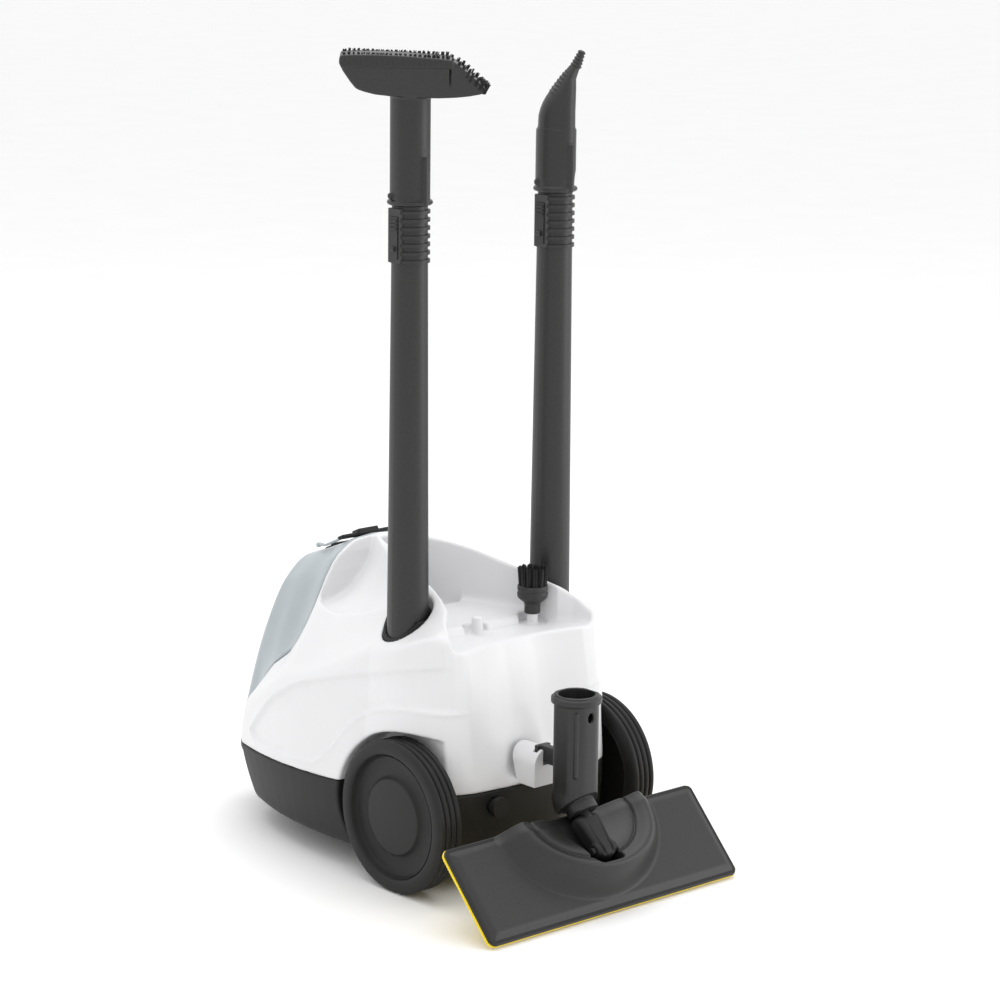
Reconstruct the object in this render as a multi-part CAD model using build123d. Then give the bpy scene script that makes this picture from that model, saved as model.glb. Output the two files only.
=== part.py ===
from build123d import *
import math
import os

# Canister steam cleaner with two stand-up extension tubes and a parked floor nozzle.
# Everything is drawn from the point on the ground under the middle of the rear axle:
# +X is the machine's left, -Y its front, +Z up, millimetres.  save() then moves each piece
# to the part's own origin, the middle of the whole footprint on the ground.
AXLE_POINT = (-12.0, 79.0, 0.0)

# ---- body ----
WALL = 3.0
BASE_BOTTOM_Z = 25.0
SPLIT_Z_AT_AXLE = 102.0          # the line between base and upper shell rises to the rear
SPLIT_SLOPE = 0.048
# The plan is six arcs; each entry is an arc's middle and end point on the left side.
PLAN_NOSE = (0, -357)
PLAN_FRONT_CORNER = (124, -283)
PLAN_SIDE = [(147, -180), (143, -50)]
PLAN_REAR_CORNER = [(125, 26), (84, 54)]
PLAN_TAIL = (0, 62)
SIDE_PROFILE = [(-341, 25), (-357, 92), (-353, 117), (-330, 200), (-285, 286), (-230, 311), (-205, 318),
                (-190, 316), (-160, 304), (-110, 294), (-60, 288), (-30, 283), (18, 262),
                (33, 217), (48, 144), (61, 100), (52, 25)]
CROSS_SECTION = [(137, 25), (148, 95), (143, 190), (136, 240), (100, 280), (60, 301), (28, 314),
                 (0, 318)]
DECK_Z = 255.0
DECK_HALF_WIDTH = 72.0
# The tank's rear boundary, seen from the side, from the seat up to the arch.
TANK_SEAT_Z = 117.0
TANK_REAR = [(-296, 117), (-278, 156), (-255, 183), (-229, 200), (-211, 215), (-194, 240),
             (-176, 262), (-172, 280), (-190, 300), (-207, 320)]
TANK_GAP = 0.5
TANK_WALL = 2.5

# ---- wheels ----
AXLE_Z = 80.0
AXLE_R = 4.0
WHEEL_R = 80.0
WHEEL_OUTER_X = 150.5
WHEEL_WIDTH = 30.5
HUB_R = 64.0
WELL_R = 89.0
WELL_INNER_X = 113.0
CASTER_Y = -276.0
CASTER_R = 21.0
CASTER_TRAIL = 12.0
CASTER_POCKET_R = 38.0
CASTER_POCKET_Z = 62.0

# ---- extension tubes and their nozzles ----
TUBE_X = 98.0
TUBE_Y = -35.0
TUBE_BOTTOM_Z = 200.0
TUBE_TOP_Z = 697.5
TUBE_FOOT_R = 22.0
TUBE_HEAD_R = 18.0
TUBE_BORE_R = 15.0
SOCKET_R = 22.6
SLEEVE_R = 25.0
GRIP_LENGTH = 57.0
GRIP_PITCH = 8.2
GRIP_R = 20.5
SPIGOT_DEPTH = 28.0
BUTTON_Z = TUBE_TOP_Z - 26.0
HAND_TOP_Z = 851.0
DETAIL_TOP_Z = 838.0

# ---- accessory pegs ----
PEGS = [(20.0, -16.0), (-54.0, -13.0)]
PEG_R = 6.0

# ---- screw posts, boiler and front controls ----
SCREW_POSTS = [(105, -215), (-105, -215), (95, -78), (-95, -78)]
SCREW_POST_TOP = {-215: 205, -78: 253}      # the roof is lower over the front pair
BOILER_Y = -150.0
BOILER_R = 58.0
VALVE_X, VALVE_Y = 62.0, -316.0
SOCKET_Z = 58.0
SOCKET_FACE_Y = -355.0
SOCKET_R_FACE = 20.0
FLAP_PIN_Z = SOCKET_Z + 22
DIAL_X, DIAL_Z = 52.0, 60.0
DIAL_FACE_Y = -352.5
LENS_X, LENS_PITCH, LENS_Z = -30.0, 8.0, 76.0
GLAND_X, GLAND_Z = -60.0, 84.0
PLUG_X, PLUG_Z = 58.0, 88.0

# ---- tank filler and handle, on the tank's sloping top ----
CAP_Y = -266.0
TANK_TOP_LOW, TANK_TOP_HIGH = (-285, 286), (-230, 311)
BAIL_PIN_V, BAIL_PIN_H = 6.0, 3.4
BAIL_PIN_R = 1.5

# ---- lock button in the tube's head ----
BUTTON_BACK = 17.3            # its inner face, from the tube's axis
BUTTON_FRONT = 21.5
SPRING_BACK = 15.2
SPRING_THICKNESS = 0.5

# ---- parked floor nozzle ----
NOZZLE_X = 12.0
NECK_Y = 127.5
NECK_R = 23.0
NECK_BORE_R = 19.0
NECK_BOTTOM_Z = 101.0
CATCH_Y = 85.0                # how far the catch on the rear wall reaches back
CATCH_TOP_Z = 147.0
LUG_Z = 130.0
NECK_TOP_Z = 212.0
PLATE_LENGTH = 345.4
PLATE_WIDTH = 110.8
PLATE_TILT = 46.4
PLATE_CENTRE = (NOZZLE_X, 160.7, 46.6)   # on the cover's flat top
PIVOT_V = 4.0
PIVOT_H = 17.0
ELBOW_V = 41.0
SWIVEL_R = 6.0
FOOT_V = 57.0                 # up to here the neck's foot stays inside a round, clear of the plate
FOOT_R = 16.5


def save(name, *solids):
    """Write one node, moved to the part's own origin."""
    placed = [Pos(*AXLE_POINT) * s for s in solids]
    whole = placed[0] if len(placed) == 1 else Compound(children=placed)
    export_step(whole, os.path.join("parts", name + ".step"))


def cyl(radius, z0, z1, x=0.0, y=0.0):
    """A vertical cylinder from z0 to z1."""
    return Pos(x, y, (z0 + z1) / 2) * Cylinder(radius, z1 - z0)


def bar(radius, x0, x1, y, z):
    """A cylinder along X."""
    return Pos((x0 + x1) / 2, y, z) * Rot(0, 90, 0) * Cylinder(radius, abs(x1 - x0))


def rod(radius, y0, y1, x, z):
    """A cylinder along Y."""
    return Pos(x, (y0 + y1) / 2, z) * Rot(90, 0, 0) * Cylinder(radius, abs(y1 - y0))


def block(x0, x1, y0, y1, z0, z1):
    """A box between two corners."""
    size = (abs(x1 - x0), abs(y1 - y0), abs(z1 - z0))
    return Pos((x0 + x1) / 2, (y0 + y1) / 2, (z0 + z1) / 2) * Box(*size)


def pipe(radius, bore, bend, *points):
    """A round pipe along straight runs with rounded corners."""
    path = FilletPolyline(*points, radius=bend)
    ends = Plane(path @ 0, z_dir=path % 0)
    outer = sweep(ends * Circle(radius), path)
    return outer - sweep(ends * Circle(bore), path)


def plan_face():
    """The closed plan outline."""
    def arcs(side):
        corner, (mid, end), (rear_mid, rear_end) = PLAN_FRONT_CORNER, PLAN_SIDE, PLAN_REAR_CORNER
        stops = [[(side * x, y) for x, y in arc] for arc in ((corner, mid, end), (end, rear_mid, rear_end))]
        return [ThreePointArc(*stop) for stop in stops]
    front = ThreePointArc((-PLAN_FRONT_CORNER[0], PLAN_FRONT_CORNER[1]), PLAN_NOSE, PLAN_FRONT_CORNER)
    left_end = PLAN_REAR_CORNER[1]
    rear = ThreePointArc(left_end, PLAN_TAIL, (-left_end[0], left_end[1]))
    return make_face([front, *arcs(1), rear, *arcs(-1)])


def side_slab(points, inset=0.0, half_width=170.0):
    """A slab that runs across the machine, from a side view outline of (y, z) points."""
    face = make_face(Polyline(*points, close=True))
    if inset:
        face = offset(face, amount=-inset, kind=Kind.INTERSECTION)
    return extrude(Plane.YZ * face, amount=half_width, both=True)


def hull(inset=0.0):
    """The outer form of base, upper shell and tank together, or the same form inside a wall."""
    plan = plan_face()
    if inset:
        plan = offset(plan, amount=-inset, kind=Kind.INTERSECTION)
    plan = extrude(plan, amount=330)
    half = CROSS_SECTION
    across = half + [(-x, z) for x, z in reversed(half[:-1])]
    face = make_face(Polyline(*across, close=True))
    if inset:
        face = offset(face, amount=-inset, kind=Kind.INTERSECTION)
    section = extrude(Plane.XZ * face, amount=420, both=True)
    return plan & side_slab(SIDE_PROFILE, inset) & section


def below_split(lift=0.0):
    """All the space under the line between base and upper shell."""
    def z_at(y):
        return SPLIT_Z_AT_AXLE + SPLIT_SLOPE * y + lift
    return side_slab([(-400, -10), (-400, z_at(-400)), (100, z_at(100)), (100, -10)], 0, 200)


def wheel_wells(extra=0.0):
    """The two round wells, or the same with their liner."""
    inner = WELL_INNER_X - extra
    wells = [bar(WELL_R + extra, side * inner, side * 190, 2, AXLE_Z - 4) for side in (1, -1)]
    return wells[0] + wells[1]


def tank_zone(gap=0.0):
    """The space in front of the tank's rear boundary and above its seat."""
    rear = [(y + gap, z) for y, z in TANK_REAR]
    rear[0] = (rear[0][0], TANK_SEAT_Z - gap)
    front = [(-207 + gap, 420), (-420, 420), (-420, TANK_SEAT_Z - gap)]
    return side_slab(rear + front, 0, 200)


# ---------------------------------------------------------------- casing
def base_shell():
    """The dark lower tray, with wheel wells, caster pocket, front panel holes and posts."""
    room = hull(WALL) - wheel_wells(WALL)
    room -= cyl(CASTER_POCKET_R + WALL, 0, CASTER_POCKET_Z + WALL, 0, CASTER_Y)
    tray = (hull() & below_split()) - room - wheel_wells()
    tray -= cyl(CASTER_POCKET_R, 0, CASTER_POCKET_Z, 0, CASTER_Y)
    tray -= cyl(5.2, 0, 90, 0, CASTER_Y)
    tray -= bar(AXLE_R + 0.06, -140, 140, 0, AXLE_Z)
    tray += cyl(48, BASE_BOTTOM_Z + 1, 50, 0, BOILER_Y) - cyl(45, 20, 60, 0, BOILER_Y)
    tray -= rod(SOCKET_R_FACE + 0.1, -370, -335, 0, SOCKET_Z)
    tray -= block(-6.3, 6.3, -365, -352, SOCKET_Z + 16, SOCKET_Z + 25.3)
    tray -= rod(12.0, -370, -290, DIAL_X, DIAL_Z)
    tray -= rod(12.0, DIAL_FACE_Y + 8, -290, -DIAL_X, DIAL_Z)
    tray -= rod(10.0, -370, -290, -DIAL_X, DIAL_Z)
    for i in range(2):
        tray -= rod(2.5, -370, -340, LENS_X + LENS_PITCH * i, LENS_Z)
    tray -= rod(7.0, 30, 70, GLAND_X, GLAND_Z)
    tray -= rod(8.05, 30, 70, PLUG_X, PLUG_Z)
    for x, y in SCREW_POSTS:
        tray += cyl(6, BASE_BOTTOM_Z + 1, 80, x, y)
        tray -= cyl(2.2, 0, 90, x, y)
        tray -= cyl(4.5, 0, BASE_BOTTOM_Z + 6, x, y)
    return tray


def scoop():
    """The hollow behind the arch, and the deck that it runs out onto."""
    grip = [(-196, 330), (-182, 290), (-160, 264), (-120, DECK_Z), (60, DECK_Z), (60, 330)]
    deep = side_slab(grip, 0, DECK_HALF_WIDTH)
    wide = side_slab([(-190, 330), (-172, 282), (-140, 268), (-98, 274), (-90, 330)], 0, 98)
    return deep + wide


def upper_shell():
    """The white shell: arch, scoop, deck, tube columns, tank seat and wheel arches."""
    behind_tank = [(y + 5, z - 1.5) for y, z in TANK_REAR[1:6]]
    room_profile = [(-350, 40), (-350, TANK_SEAT_Z - WALL), (-291, TANK_SEAT_Z - WALL), *behind_tank,
                    (-179, DECK_Z - 4), (14, DECK_Z - 4), (29, 217), (44, 144), (57, 100), (57, 40)]
    room = hull(WALL) & side_slab(room_profile)
    shell = hull() - scoop() - tank_zone(TANK_GAP) - (room - wheel_wells(WALL))
    shell = shell - wheel_wells() - below_split(0.2)
    for side in (1, -1):
        shell += cyl(SLEEVE_R + 2.5, 225, 252, side * TUBE_X, TUBE_Y)
        shell -= cyl(SLEEVE_R, 190, 330, side * TUBE_X, TUBE_Y)
    for x, y in PEGS:
        shell += cyl(PEG_R, DECK_Z - 1, DECK_Z + 12, x, y)
        shell -= cyl(PEG_R - 2.5, DECK_Z - 1, DECK_Z + 13, x, y)
    for x, y in SCREW_POSTS:
        shell += cyl(5, 82, SCREW_POST_TOP[y], x, y)
        shell -= cyl(1.6, 80, 110, x, y)
    shell -= cyl(9.2, TANK_SEAT_Z - 8, TANK_SEAT_Z + 2, VALVE_X, VALVE_Y)
    return shell


def parking_bracket():
    """The arched catch behind the rear wall, open at the top for the floor nozzle's T-shaped lug."""
    x = NOZZLE_X
    catch = rod(17, 45, CATCH_Y, x, CATCH_TOP_Z - 17)
    catch += block(x - 17, x + 17, 45, CATCH_Y, 108, CATCH_TOP_Z - 17)
    pocket = block(x - 10.5, x + 10.5, CATCH_Y - 10, CATCH_Y - 4, LUG_Z - 0.3, 170)
    slot = block(x - 5.5, x + 5.5, CATCH_Y - 11, CATCH_Y + 1, LUG_Z - 0.3, 170)
    return catch - pocket - slot - (hull(-0.02) & block(-60, 60, 0, 70, 90, 170))


def shell_screws():
    screws = []
    for x, y in SCREW_POSTS:
        head = cyl(4.0, BASE_BOTTOM_Z + 3, BASE_BOTTOM_Z + 6, x, y)
        screws.append(head + cyl(1.6, BASE_BOTTOM_Z + 6, 100, x, y))
    return screws


# ---------------------------------------------------------------- boiler and water side
def boiler_lower():
    cup = cyl(BOILER_R, 50, 118, 0, BOILER_Y) - cyl(BOILER_R - 4, 54, 119, 0, BOILER_Y)
    return cup + (cyl(BOILER_R + 5, 112, 118, 0, BOILER_Y) - cyl(BOILER_R - 1, 111, 119, 0, BOILER_Y))


def boiler_upper():
    cup = cyl(BOILER_R, 118, 185, 0, BOILER_Y) - cyl(BOILER_R - 4, 117, 181, 0, BOILER_Y)
    rim = cyl(BOILER_R + 5, 118, 124, 0, BOILER_Y) - cyl(BOILER_R - 1, 117, 125, 0, BOILER_Y)
    return cup + rim - cyl(4, 170, 190, 0, BOILER_Y) - rod(4, -100, -80, 0, 140)


def boiler_insulation():
    return cyl(71, 60, 172, 0, BOILER_Y) - cyl(BOILER_R + 5.5, 50, 180, 0, BOILER_Y) \
        - rod(6, -100, -70, 0, 140)


def heater_element():
    ring = Pos(0, BOILER_Y, 66) * Torus(38, 4)
    posts = [cyl(2.5, 54, 64, x, BOILER_Y) for x in (38, -38)]
    return ring + posts[0] + posts[1]


def solenoid_valve():
    coil = block(-14, 14, BOILER_Y - 14, BOILER_Y + 14, 190, 220)
    return coil + cyl(7, 185, 190, 0, BOILER_Y) + bar(5, -20, -13, BOILER_Y, 200)


def steam_pipe():
    return pipe(4, 2.5, 8, (-20, -150, 200), (-84, -150, 200), (-84, -150, 90), (-84, -262, 90),
                (-20, -292, 82), (0, -303, 70), (0, -318, 70))


def suction_pipe():
    return pipe(4.5, 3, 10, (VALVE_X, VALVE_Y, 109), (VALVE_X, VALVE_Y, 86), (80, -262, 60),
                (80, -60, 48), (80, -42, 48), (30, -42, 48))


def pressure_pipe():
    return pipe(3, 2, 10, (0, -56, 70), (0, -56, 140), (0, -92, 140))


def water_pump():
    body = block(-30, 30, -70, -18, 32, 64) + cyl(10, 64, 70, 0, -56)
    return body + rod(13, -18, -10, 0, 48)


def thermostat():
    return cyl(11, 185, 194, 32, BOILER_Y + 22) + block(29, 35, BOILER_Y + 12, BOILER_Y + 32, 194, 199)


def safety_valve():
    return cyl(8, 185, 196, -34, BOILER_Y + 24) + cyl(5, 196, 212, -34, BOILER_Y + 24)


# ---------------------------------------------------------------- front controls
def steam_socket():
    face = SOCKET_FACE_Y
    tube = rod(16.8, face, -318, 0, SOCKET_Z) + rod(SOCKET_R_FACE, face, face + 6.0, 0, SOCKET_Z)
    tube -= rod(11, face - 1, -321, 0, SOCKET_Z)
    tube += block(-6, 6, face - 4, face + 1.5, SOCKET_Z + 17, SOCKET_Z + 25)
    return tube - bar(1.55, -8, 8, face - 2, FLAP_PIN_Z)


def socket_flap():
    face = SOCKET_FACE_Y
    lid = rod(18.5, face - 3.2, face - 0.4, 0, SOCKET_Z)
    ears = block(-10, -6.4, face - 4.2, face - 0.4, SOCKET_Z + 12, SOCKET_Z + 24)
    ears += block(6.4, 10, face - 4.2, face - 0.4, SOCKET_Z + 12, SOCKET_Z + 24)
    pin = bar(1.5, -10, 10, face - 2, FLAP_PIN_Z)
    notch = block(-6.4, 6.4, face - 6, face, SOCKET_Z + 16.4, SOCKET_Z + 30)
    return (lid - notch) + ears + pin


def panel_switches():
    """The dial's rotary switch and the power button's push switch."""
    face = DIAL_FACE_Y
    rotary = rod(11.9, face + 4, face + 26, DIAL_X, DIAL_Z) - rod(3.06, face, face + 16, DIAL_X, DIAL_Z)
    return [rotary, rod(11.9, face + 10, face + 28, -DIAL_X, DIAL_Z)]


def control_dial():
    face = DIAL_FACE_Y
    knob = rod(16, face - 7, face - 1.0, DIAL_X, DIAL_Z)
    knob += block(DIAL_X - 3, DIAL_X + 3, face - 10, face - 6, DIAL_Z - 14, DIAL_Z + 14)
    return knob + rod(3, face - 2, face + 14, DIAL_X, DIAL_Z)


def power_button():
    return rod(9.7, DIAL_FACE_Y - 2, DIAL_FACE_Y + 6.5, -DIAL_X, DIAL_Z)


def indicator_lens():
    return [rod(2.5, -353.5, -347, LENS_X + LENS_PITCH * i, LENS_Z) for i in range(2)]


def control_board():
    board = block(-52, 52, -285, -235, 96, 97.6)
    return board + block(-30, -10, -275, -250, 97.6, 108) + block(10, 34, -270, -252, 97.6, 106)


# ---------------------------------------------------------------- water tank
def tank_top_plane():
    """A frame lying on the tank's sloping top: origin at the filler, Z square to the surface."""
    (y0, z0), (y1, z1) = TANK_TOP_LOW, TANK_TOP_HIGH
    slope = math.atan2(z1 - z0, y1 - y0)
    filler_z = z0 + (CAP_Y - y0) * math.tan(slope)
    return Plane(origin=(0, CAP_Y, filler_z), x_dir=(1, 0, 0),
                 z_dir=(0, -math.sin(slope), math.cos(slope)))


def water_tank():
    outer = hull(0.3) & tank_zone()
    inner = hull(TANK_WALL) & tank_zone()
    rear = [(y - TANK_WALL - 0.5, z) for y, z in TANK_REAR]
    inner &= side_slab(rear + [(-212, 420), (-420, 420), (-420, TANK_SEAT_Z + TANK_WALL)], 0, 200) \
        & block(-200, 200, -420, 0, TANK_SEAT_Z + TANK_WALL, 420)
    tank = outer - inner
    top = tank_top_plane()
    neck = top.location * (Pos(0, 0, -6) * (Cylinder(19, 8) - Cylinder(15.2, 8)))
    tank += neck & hull(0.3)
    tank -= top.location * Cylinder(15.2, 30)
    tank -= top.location * (Pos(0, 0, 2) * Cylinder(18.2, 8))
    for side in (1, -1):
        tank += handle_post(side)
    tank -= cyl(6, TANK_SEAT_Z - 1, TANK_SEAT_Z + 6, VALVE_X, VALVE_Y)
    return tank


def handle_post(side):
    """A small ear on the tank's top that carries one end of the handle."""
    ear = Pos(side * 32, BAIL_PIN_V, 1.5) * Box(5, 8, 9)
    hole = Pos(side * 32, BAIL_PIN_V, BAIL_PIN_H) * Rot(0, 90, 0) * Cylinder(BAIL_PIN_R + 0.05, 20)
    return tank_top_plane().location * (ear - hole)


def tank_cap():
    cap = Pos(0, 0, -0.6) * Cylinder(17.9, 2.4) + Pos(0, 0, -6) * Cylinder(14.9, 9)
    grip = Pos(0, 0, 1.6) * Box(24, 4, 3)
    return tank_top_plane().location * (cap + grip)


def tank_handle():
    """A flat bail: two arms on pins and a cross bar, folded down on the tank's top."""
    arms = [Pos(side * 37.2, 27.8, 3.6) * Box(4.6, 46, 4) for side in (1, -1)]
    cross = Pos(0, 46, 3.6) * Box(79, 10, 5.4)
    pin = Rot(0, 90, 0) * Cylinder(BAIL_PIN_R, 9)
    pins = [Pos(side * 34.6, BAIL_PIN_V, BAIL_PIN_H) * pin for side in (1, -1)]
    bail = arms[0] + arms[1] + cross + pins[0] + pins[1]
    return tank_top_plane().location * bail


def tank_valve():
    stem = cyl(6, TANK_SEAT_Z + 0.1, TANK_SEAT_Z + 6, VALVE_X, VALVE_Y)
    return stem + cyl(4, TANK_SEAT_Z + 6, TANK_SEAT_Z + 14, VALVE_X, VALVE_Y)


def tank_seal():
    ring = cyl(9.2, TANK_SEAT_Z - 3.4, TANK_SEAT_Z - 0.6, VALVE_X, VALVE_Y)
    return ring - cyl(4.6, 100, 130, VALVE_X, VALVE_Y)


# ---------------------------------------------------------------- rear fittings
def maintenance_plug():
    return rod(8.0, 46, 61.5, PLUG_X, PLUG_Z) + rod(11, 61.5, 68, PLUG_X, PLUG_Z)


def cord_gland():
    gland = rod(7.0, 46, 61, GLAND_X, GLAND_Z) + rod(9.5, 61, 66, GLAND_X, GLAND_Z)
    return gland - rod(3.8, 40, 70, GLAND_X, GLAND_Z)


def rear_axle():
    return bar(AXLE_R, -146, 146, 0, AXLE_Z)


def axle_clips():
    clips = []
    for side in (1, -1):
        ring = bar(8, side * 117.0, side * 118.6, 0, AXLE_Z) - bar(AXLE_R, -200, 200, 0, AXLE_Z)
        clips.append(ring)
    return clips


def wheel_hub(side):
    """A dished disc with a rim, a centre boss and a ring step on its outer face."""
    inner = WHEEL_OUTER_X - WHEEL_WIDTH + 1
    outer = WHEEL_OUTER_X - 1
    rim = bar(HUB_R, side * inner, side * outer, 0, AXLE_Z)
    rim -= bar(HUB_R - 4, side * (inner - 1), side * 134, 0, AXLE_Z)
    rim -= bar(HUB_R - 5, side * 139, side * 160, 0, AXLE_Z)
    rim += bar(12, side * inner, side * 136, 0, AXLE_Z)
    rim += bar(46, side * 137, side * 142, 0, AXLE_Z) - bar(42, side * 136, side * 150, 0, AXLE_Z)
    return rim - bar(AXLE_R + 0.06, side * 100, side * 160, 0, AXLE_Z)


def tyre(side):
    """A tread ring with four raised ribs and a rounded shoulder."""
    inner = WHEEL_OUTER_X - WHEEL_WIDTH
    ring = bar(WHEEL_R - 1.4, side * inner, side * WHEEL_OUTER_X, 0, AXLE_Z)
    for i in range(4):
        start = inner + 1.5 + i * 7.2
        ring += bar(WHEEL_R, side * start, side * (start + 5.4), 0, AXLE_Z)
    return ring - bar(HUB_R, -200, 200, 0, AXLE_Z)


def wheel_cap(side):
    """A stepped disc with a small domed boss over the end of the axle."""
    cap = bar(40, side * 139, side * 143, 0, AXLE_Z)
    cap += bar(34, side * 143, side * 144.2, 0, AXLE_Z)
    cap += bar(AXLE_R + 2, side * 143, side * 148, 0, AXLE_Z)
    return cap - bar(AXLE_R + 0.6, side * 130, side * 146.6, 0, AXLE_Z)


def caster_fork():
    plate = cyl(17, 52, 58, 0, CASTER_Y)
    stem = cyl(5.14, 58, 88, 0, CASTER_Y)
    hub_y = CASTER_Y + CASTER_TRAIL
    cheeks = [block(s * 11.5, s * 15, hub_y - 9, hub_y + 9, 14, 54) for s in (1, -1)]
    fork = plate + stem + cheeks[0] + cheeks[1]
    return fork - bar(3.0, -20, 20, hub_y, CASTER_R)


def caster_wheel():
    hub_y = CASTER_Y + CASTER_TRAIL
    return bar(CASTER_R, -10.5, 10.5, hub_y, CASTER_R) - bar(3.06, -20, 20, hub_y, CASTER_R)


def caster_axle():
    return bar(3.0, -16.5, 16.5, CASTER_Y + CASTER_TRAIL, CASTER_R)


# ---------------------------------------------------------------- tubes and nozzles
def socket_sleeve(side):
    x = side * TUBE_X
    cup = cyl(SLEEVE_R, 195, 330, x, TUBE_Y) - cyl(SOCKET_R, 199, 331, x, TUBE_Y)
    return cup & hull(0.2)


def tube_radius(z):
    """The tube tapers from its foot to its head."""
    share = (z - TUBE_BOTTOM_Z) / (TUBE_TOP_Z - TUBE_BOTTOM_Z)
    return TUBE_FOOT_R + (TUBE_HEAD_R - TUBE_FOOT_R) * share


def extension_tube(side):
    """A tapered tube with a ribbed grip below its upper end and a window for the lock button."""
    x = side * TUBE_X
    length = TUBE_TOP_Z - TUBE_BOTTOM_Z
    middle = (TUBE_TOP_Z + TUBE_BOTTOM_Z) / 2
    tube = Pos(x, TUBE_Y, middle) * Cone(TUBE_FOOT_R, TUBE_HEAD_R, length)
    for i in range(7):
        z = TUBE_TOP_Z - 4 - i * GRIP_PITCH
        tube += cyl(GRIP_R, z - 3.4, z, x, TUBE_Y)
    tube += block(x + 8, x + 20.5, TUBE_Y - 9, TUBE_Y + 9, BUTTON_Z - 30, BUTTON_Z + 24)
    tube -= cyl(TUBE_BORE_R, TUBE_BOTTOM_Z - 1, TUBE_TOP_Z + 1, x, TUBE_Y)
    tube -= block(x + 12, x + 24, TUBE_Y - 6.4, TUBE_Y + 6.4, BUTTON_Z - 26.3, BUTTON_Z + 16.3)
    return tube


def lock_button(side):
    """A rocker in the tube's window: ribbed thumb pad above, latch nose below."""
    x = side * TUBE_X
    pad = block(x + BUTTON_BACK, x + BUTTON_FRONT, TUBE_Y - 6, TUBE_Y + 6, BUTTON_Z - 26, BUTTON_Z + 16)
    for i in range(3):
        z = BUTTON_Z + 4 + i * 4
        pad += block(x + 21, x + 22.4, TUBE_Y - 5, TUBE_Y + 5, z - 1, z + 1)
    return pad + rod(2.6, TUBE_Y - 3, TUBE_Y + 3, x + 22, BUTTON_Z - 16)


def lock_spring(side):
    """A leaf between the tube's wall and the back of the button."""
    x = side * TUBE_X
    front = x + SPRING_BACK + SPRING_THICKNESS
    return block(x + SPRING_BACK, front, TUBE_Y - 4, TUBE_Y + 4, BUTTON_Z - 18, BUTTON_Z + 10)


def nozzle_spigot(x):
    """The plug of a hand-held nozzle inside the tube's head, and its collar."""
    spigot = cyl(TUBE_BORE_R - 0.4, TUBE_TOP_Z - SPIGOT_DEPTH, TUBE_TOP_Z + 2, x, TUBE_Y)
    return spigot + cyl(22.0, TUBE_TOP_Z + 0.3, TUBE_TOP_Z + 5, x, TUBE_Y)


def hand_nozzle():
    """A round neck under a wide head that faces up."""
    x = TUBE_X
    neck = Pos(x, TUBE_Y, TUBE_TOP_Z + 58) * Cone(19.5, 20.8, 108)
    head = Pos(x, TUBE_Y, 806) * extrude(RectangleRounded(128, 62, 14), amount=30, taper=-12)
    body = neck + head + nozzle_spigot(x)
    return body - cyl(11, TUBE_TOP_Z - SPIGOT_DEPTH - 1, 812, x, TUBE_Y)


def hand_nozzle_bristles():
    """The ring of bristles round the head's upper face, and the pad inside it."""
    ring = RectangleRounded(136, 72, 16) - RectangleRounded(116, 52, 10)
    brush = extrude(ring, amount=HAND_TOP_Z - 836)
    return Pos(TUBE_X, TUBE_Y, 836) * brush + Pos(TUBE_X, TUBE_Y, 836) * extrude(
        RectangleRounded(112, 48, 8), amount=4) + Pos(TUBE_X, TUBE_Y, 836) * extrude(
        RectangleRounded(120, 56, 8), amount=1)


def detail_nozzle():
    """A neck that narrows and leans over to a small outlet."""
    x = -TUBE_X
    neck = Pos(x, TUBE_Y, TUBE_TOP_Z + 40) * Cone(20.5, 18.5, 76)
    base = Pos(x, TUBE_Y, TUBE_TOP_Z + 76) * Circle(18.5)
    tip = Pos(x - 10, TUBE_Y + 9, 822) * Circle(7)
    body = neck + loft([base, tip]) + nozzle_spigot(x)
    return body - cyl(10, TUBE_TOP_Z - SPIGOT_DEPTH - 1, TUBE_TOP_Z + 70, x, TUBE_Y)


def detail_nozzle_tip():
    ring = Pos(-TUBE_X - 10, TUBE_Y + 9, 822) * Pos(0, 0, (DETAIL_TOP_Z - 822) / 2) \
        * (Cylinder(8, DETAIL_TOP_Z - 822) - Cylinder(3, DETAIL_TOP_Z - 822))
    return ring


def round_brush():
    x, y = PEGS[1]
    stem = cyl(6.3, DECK_Z + 12.3, 279, x, y) + cyl(3.2, DECK_Z + 1.2, DECK_Z + 13, x, y)
    collar = Pos(x, y, 276.5) * Cone(6.3, 16, 5) + cyl(16.2, 279, 290, x, y)
    return stem + collar


def round_brush_bristles():
    x, y = PEGS[1]
    return cyl(15.2, 290, 310, x, y) - cyl(8, 294, 311, x, y)


# ---------------------------------------------------------------- floor nozzle
def plate_frame():
    """The parked plate: X along its length, Y up its slope, Z out of its cover."""
    tilt = math.radians(PLATE_TILT)
    return Plane(origin=PLATE_CENTRE, x_dir=(-1, 0, 0),
                 z_dir=(0, math.sin(tilt), math.cos(tilt)))


def on_plate(shape):
    return plate_frame().location * shape


def floor_cover():
    """The plate's cover with a raised housing and a channel for the joint's arm."""
    flat = Pos(0, 0, -2.6) * extrude(RectangleRounded(PLATE_LENGTH - 3, PLATE_WIDTH - 2, 7),
                                     amount=2.6, taper=0)
    base = Pos(0, -1, 0) * Ellipse(92, 40)
    rim = Pos(0, 12, 24) * Ellipse(62, 28)
    dome = loft([base, rim]) & Pos(0, -1.2, 20) * Box(300, PLATE_WIDTH - 4, 50)
    channel = Pos(0, 30, 20) * Box(52, 74, 34) + Pos(0, PIVOT_V, PIVOT_H + 2) * Rot(0, 90, 0) * Cylinder(14, 52)
    cover = flat + dome - channel
    pins = Pos(0, PIVOT_V, PIVOT_H) * Rot(0, 90, 0) * Cylinder(4.06, 64)
    ears = [Pos(s * 29, PIVOT_V, 8) * Box(6, 16, 20) for s in (1, -1)]
    return on_plate(cover + ears[0] + ears[1] - pins)


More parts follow.
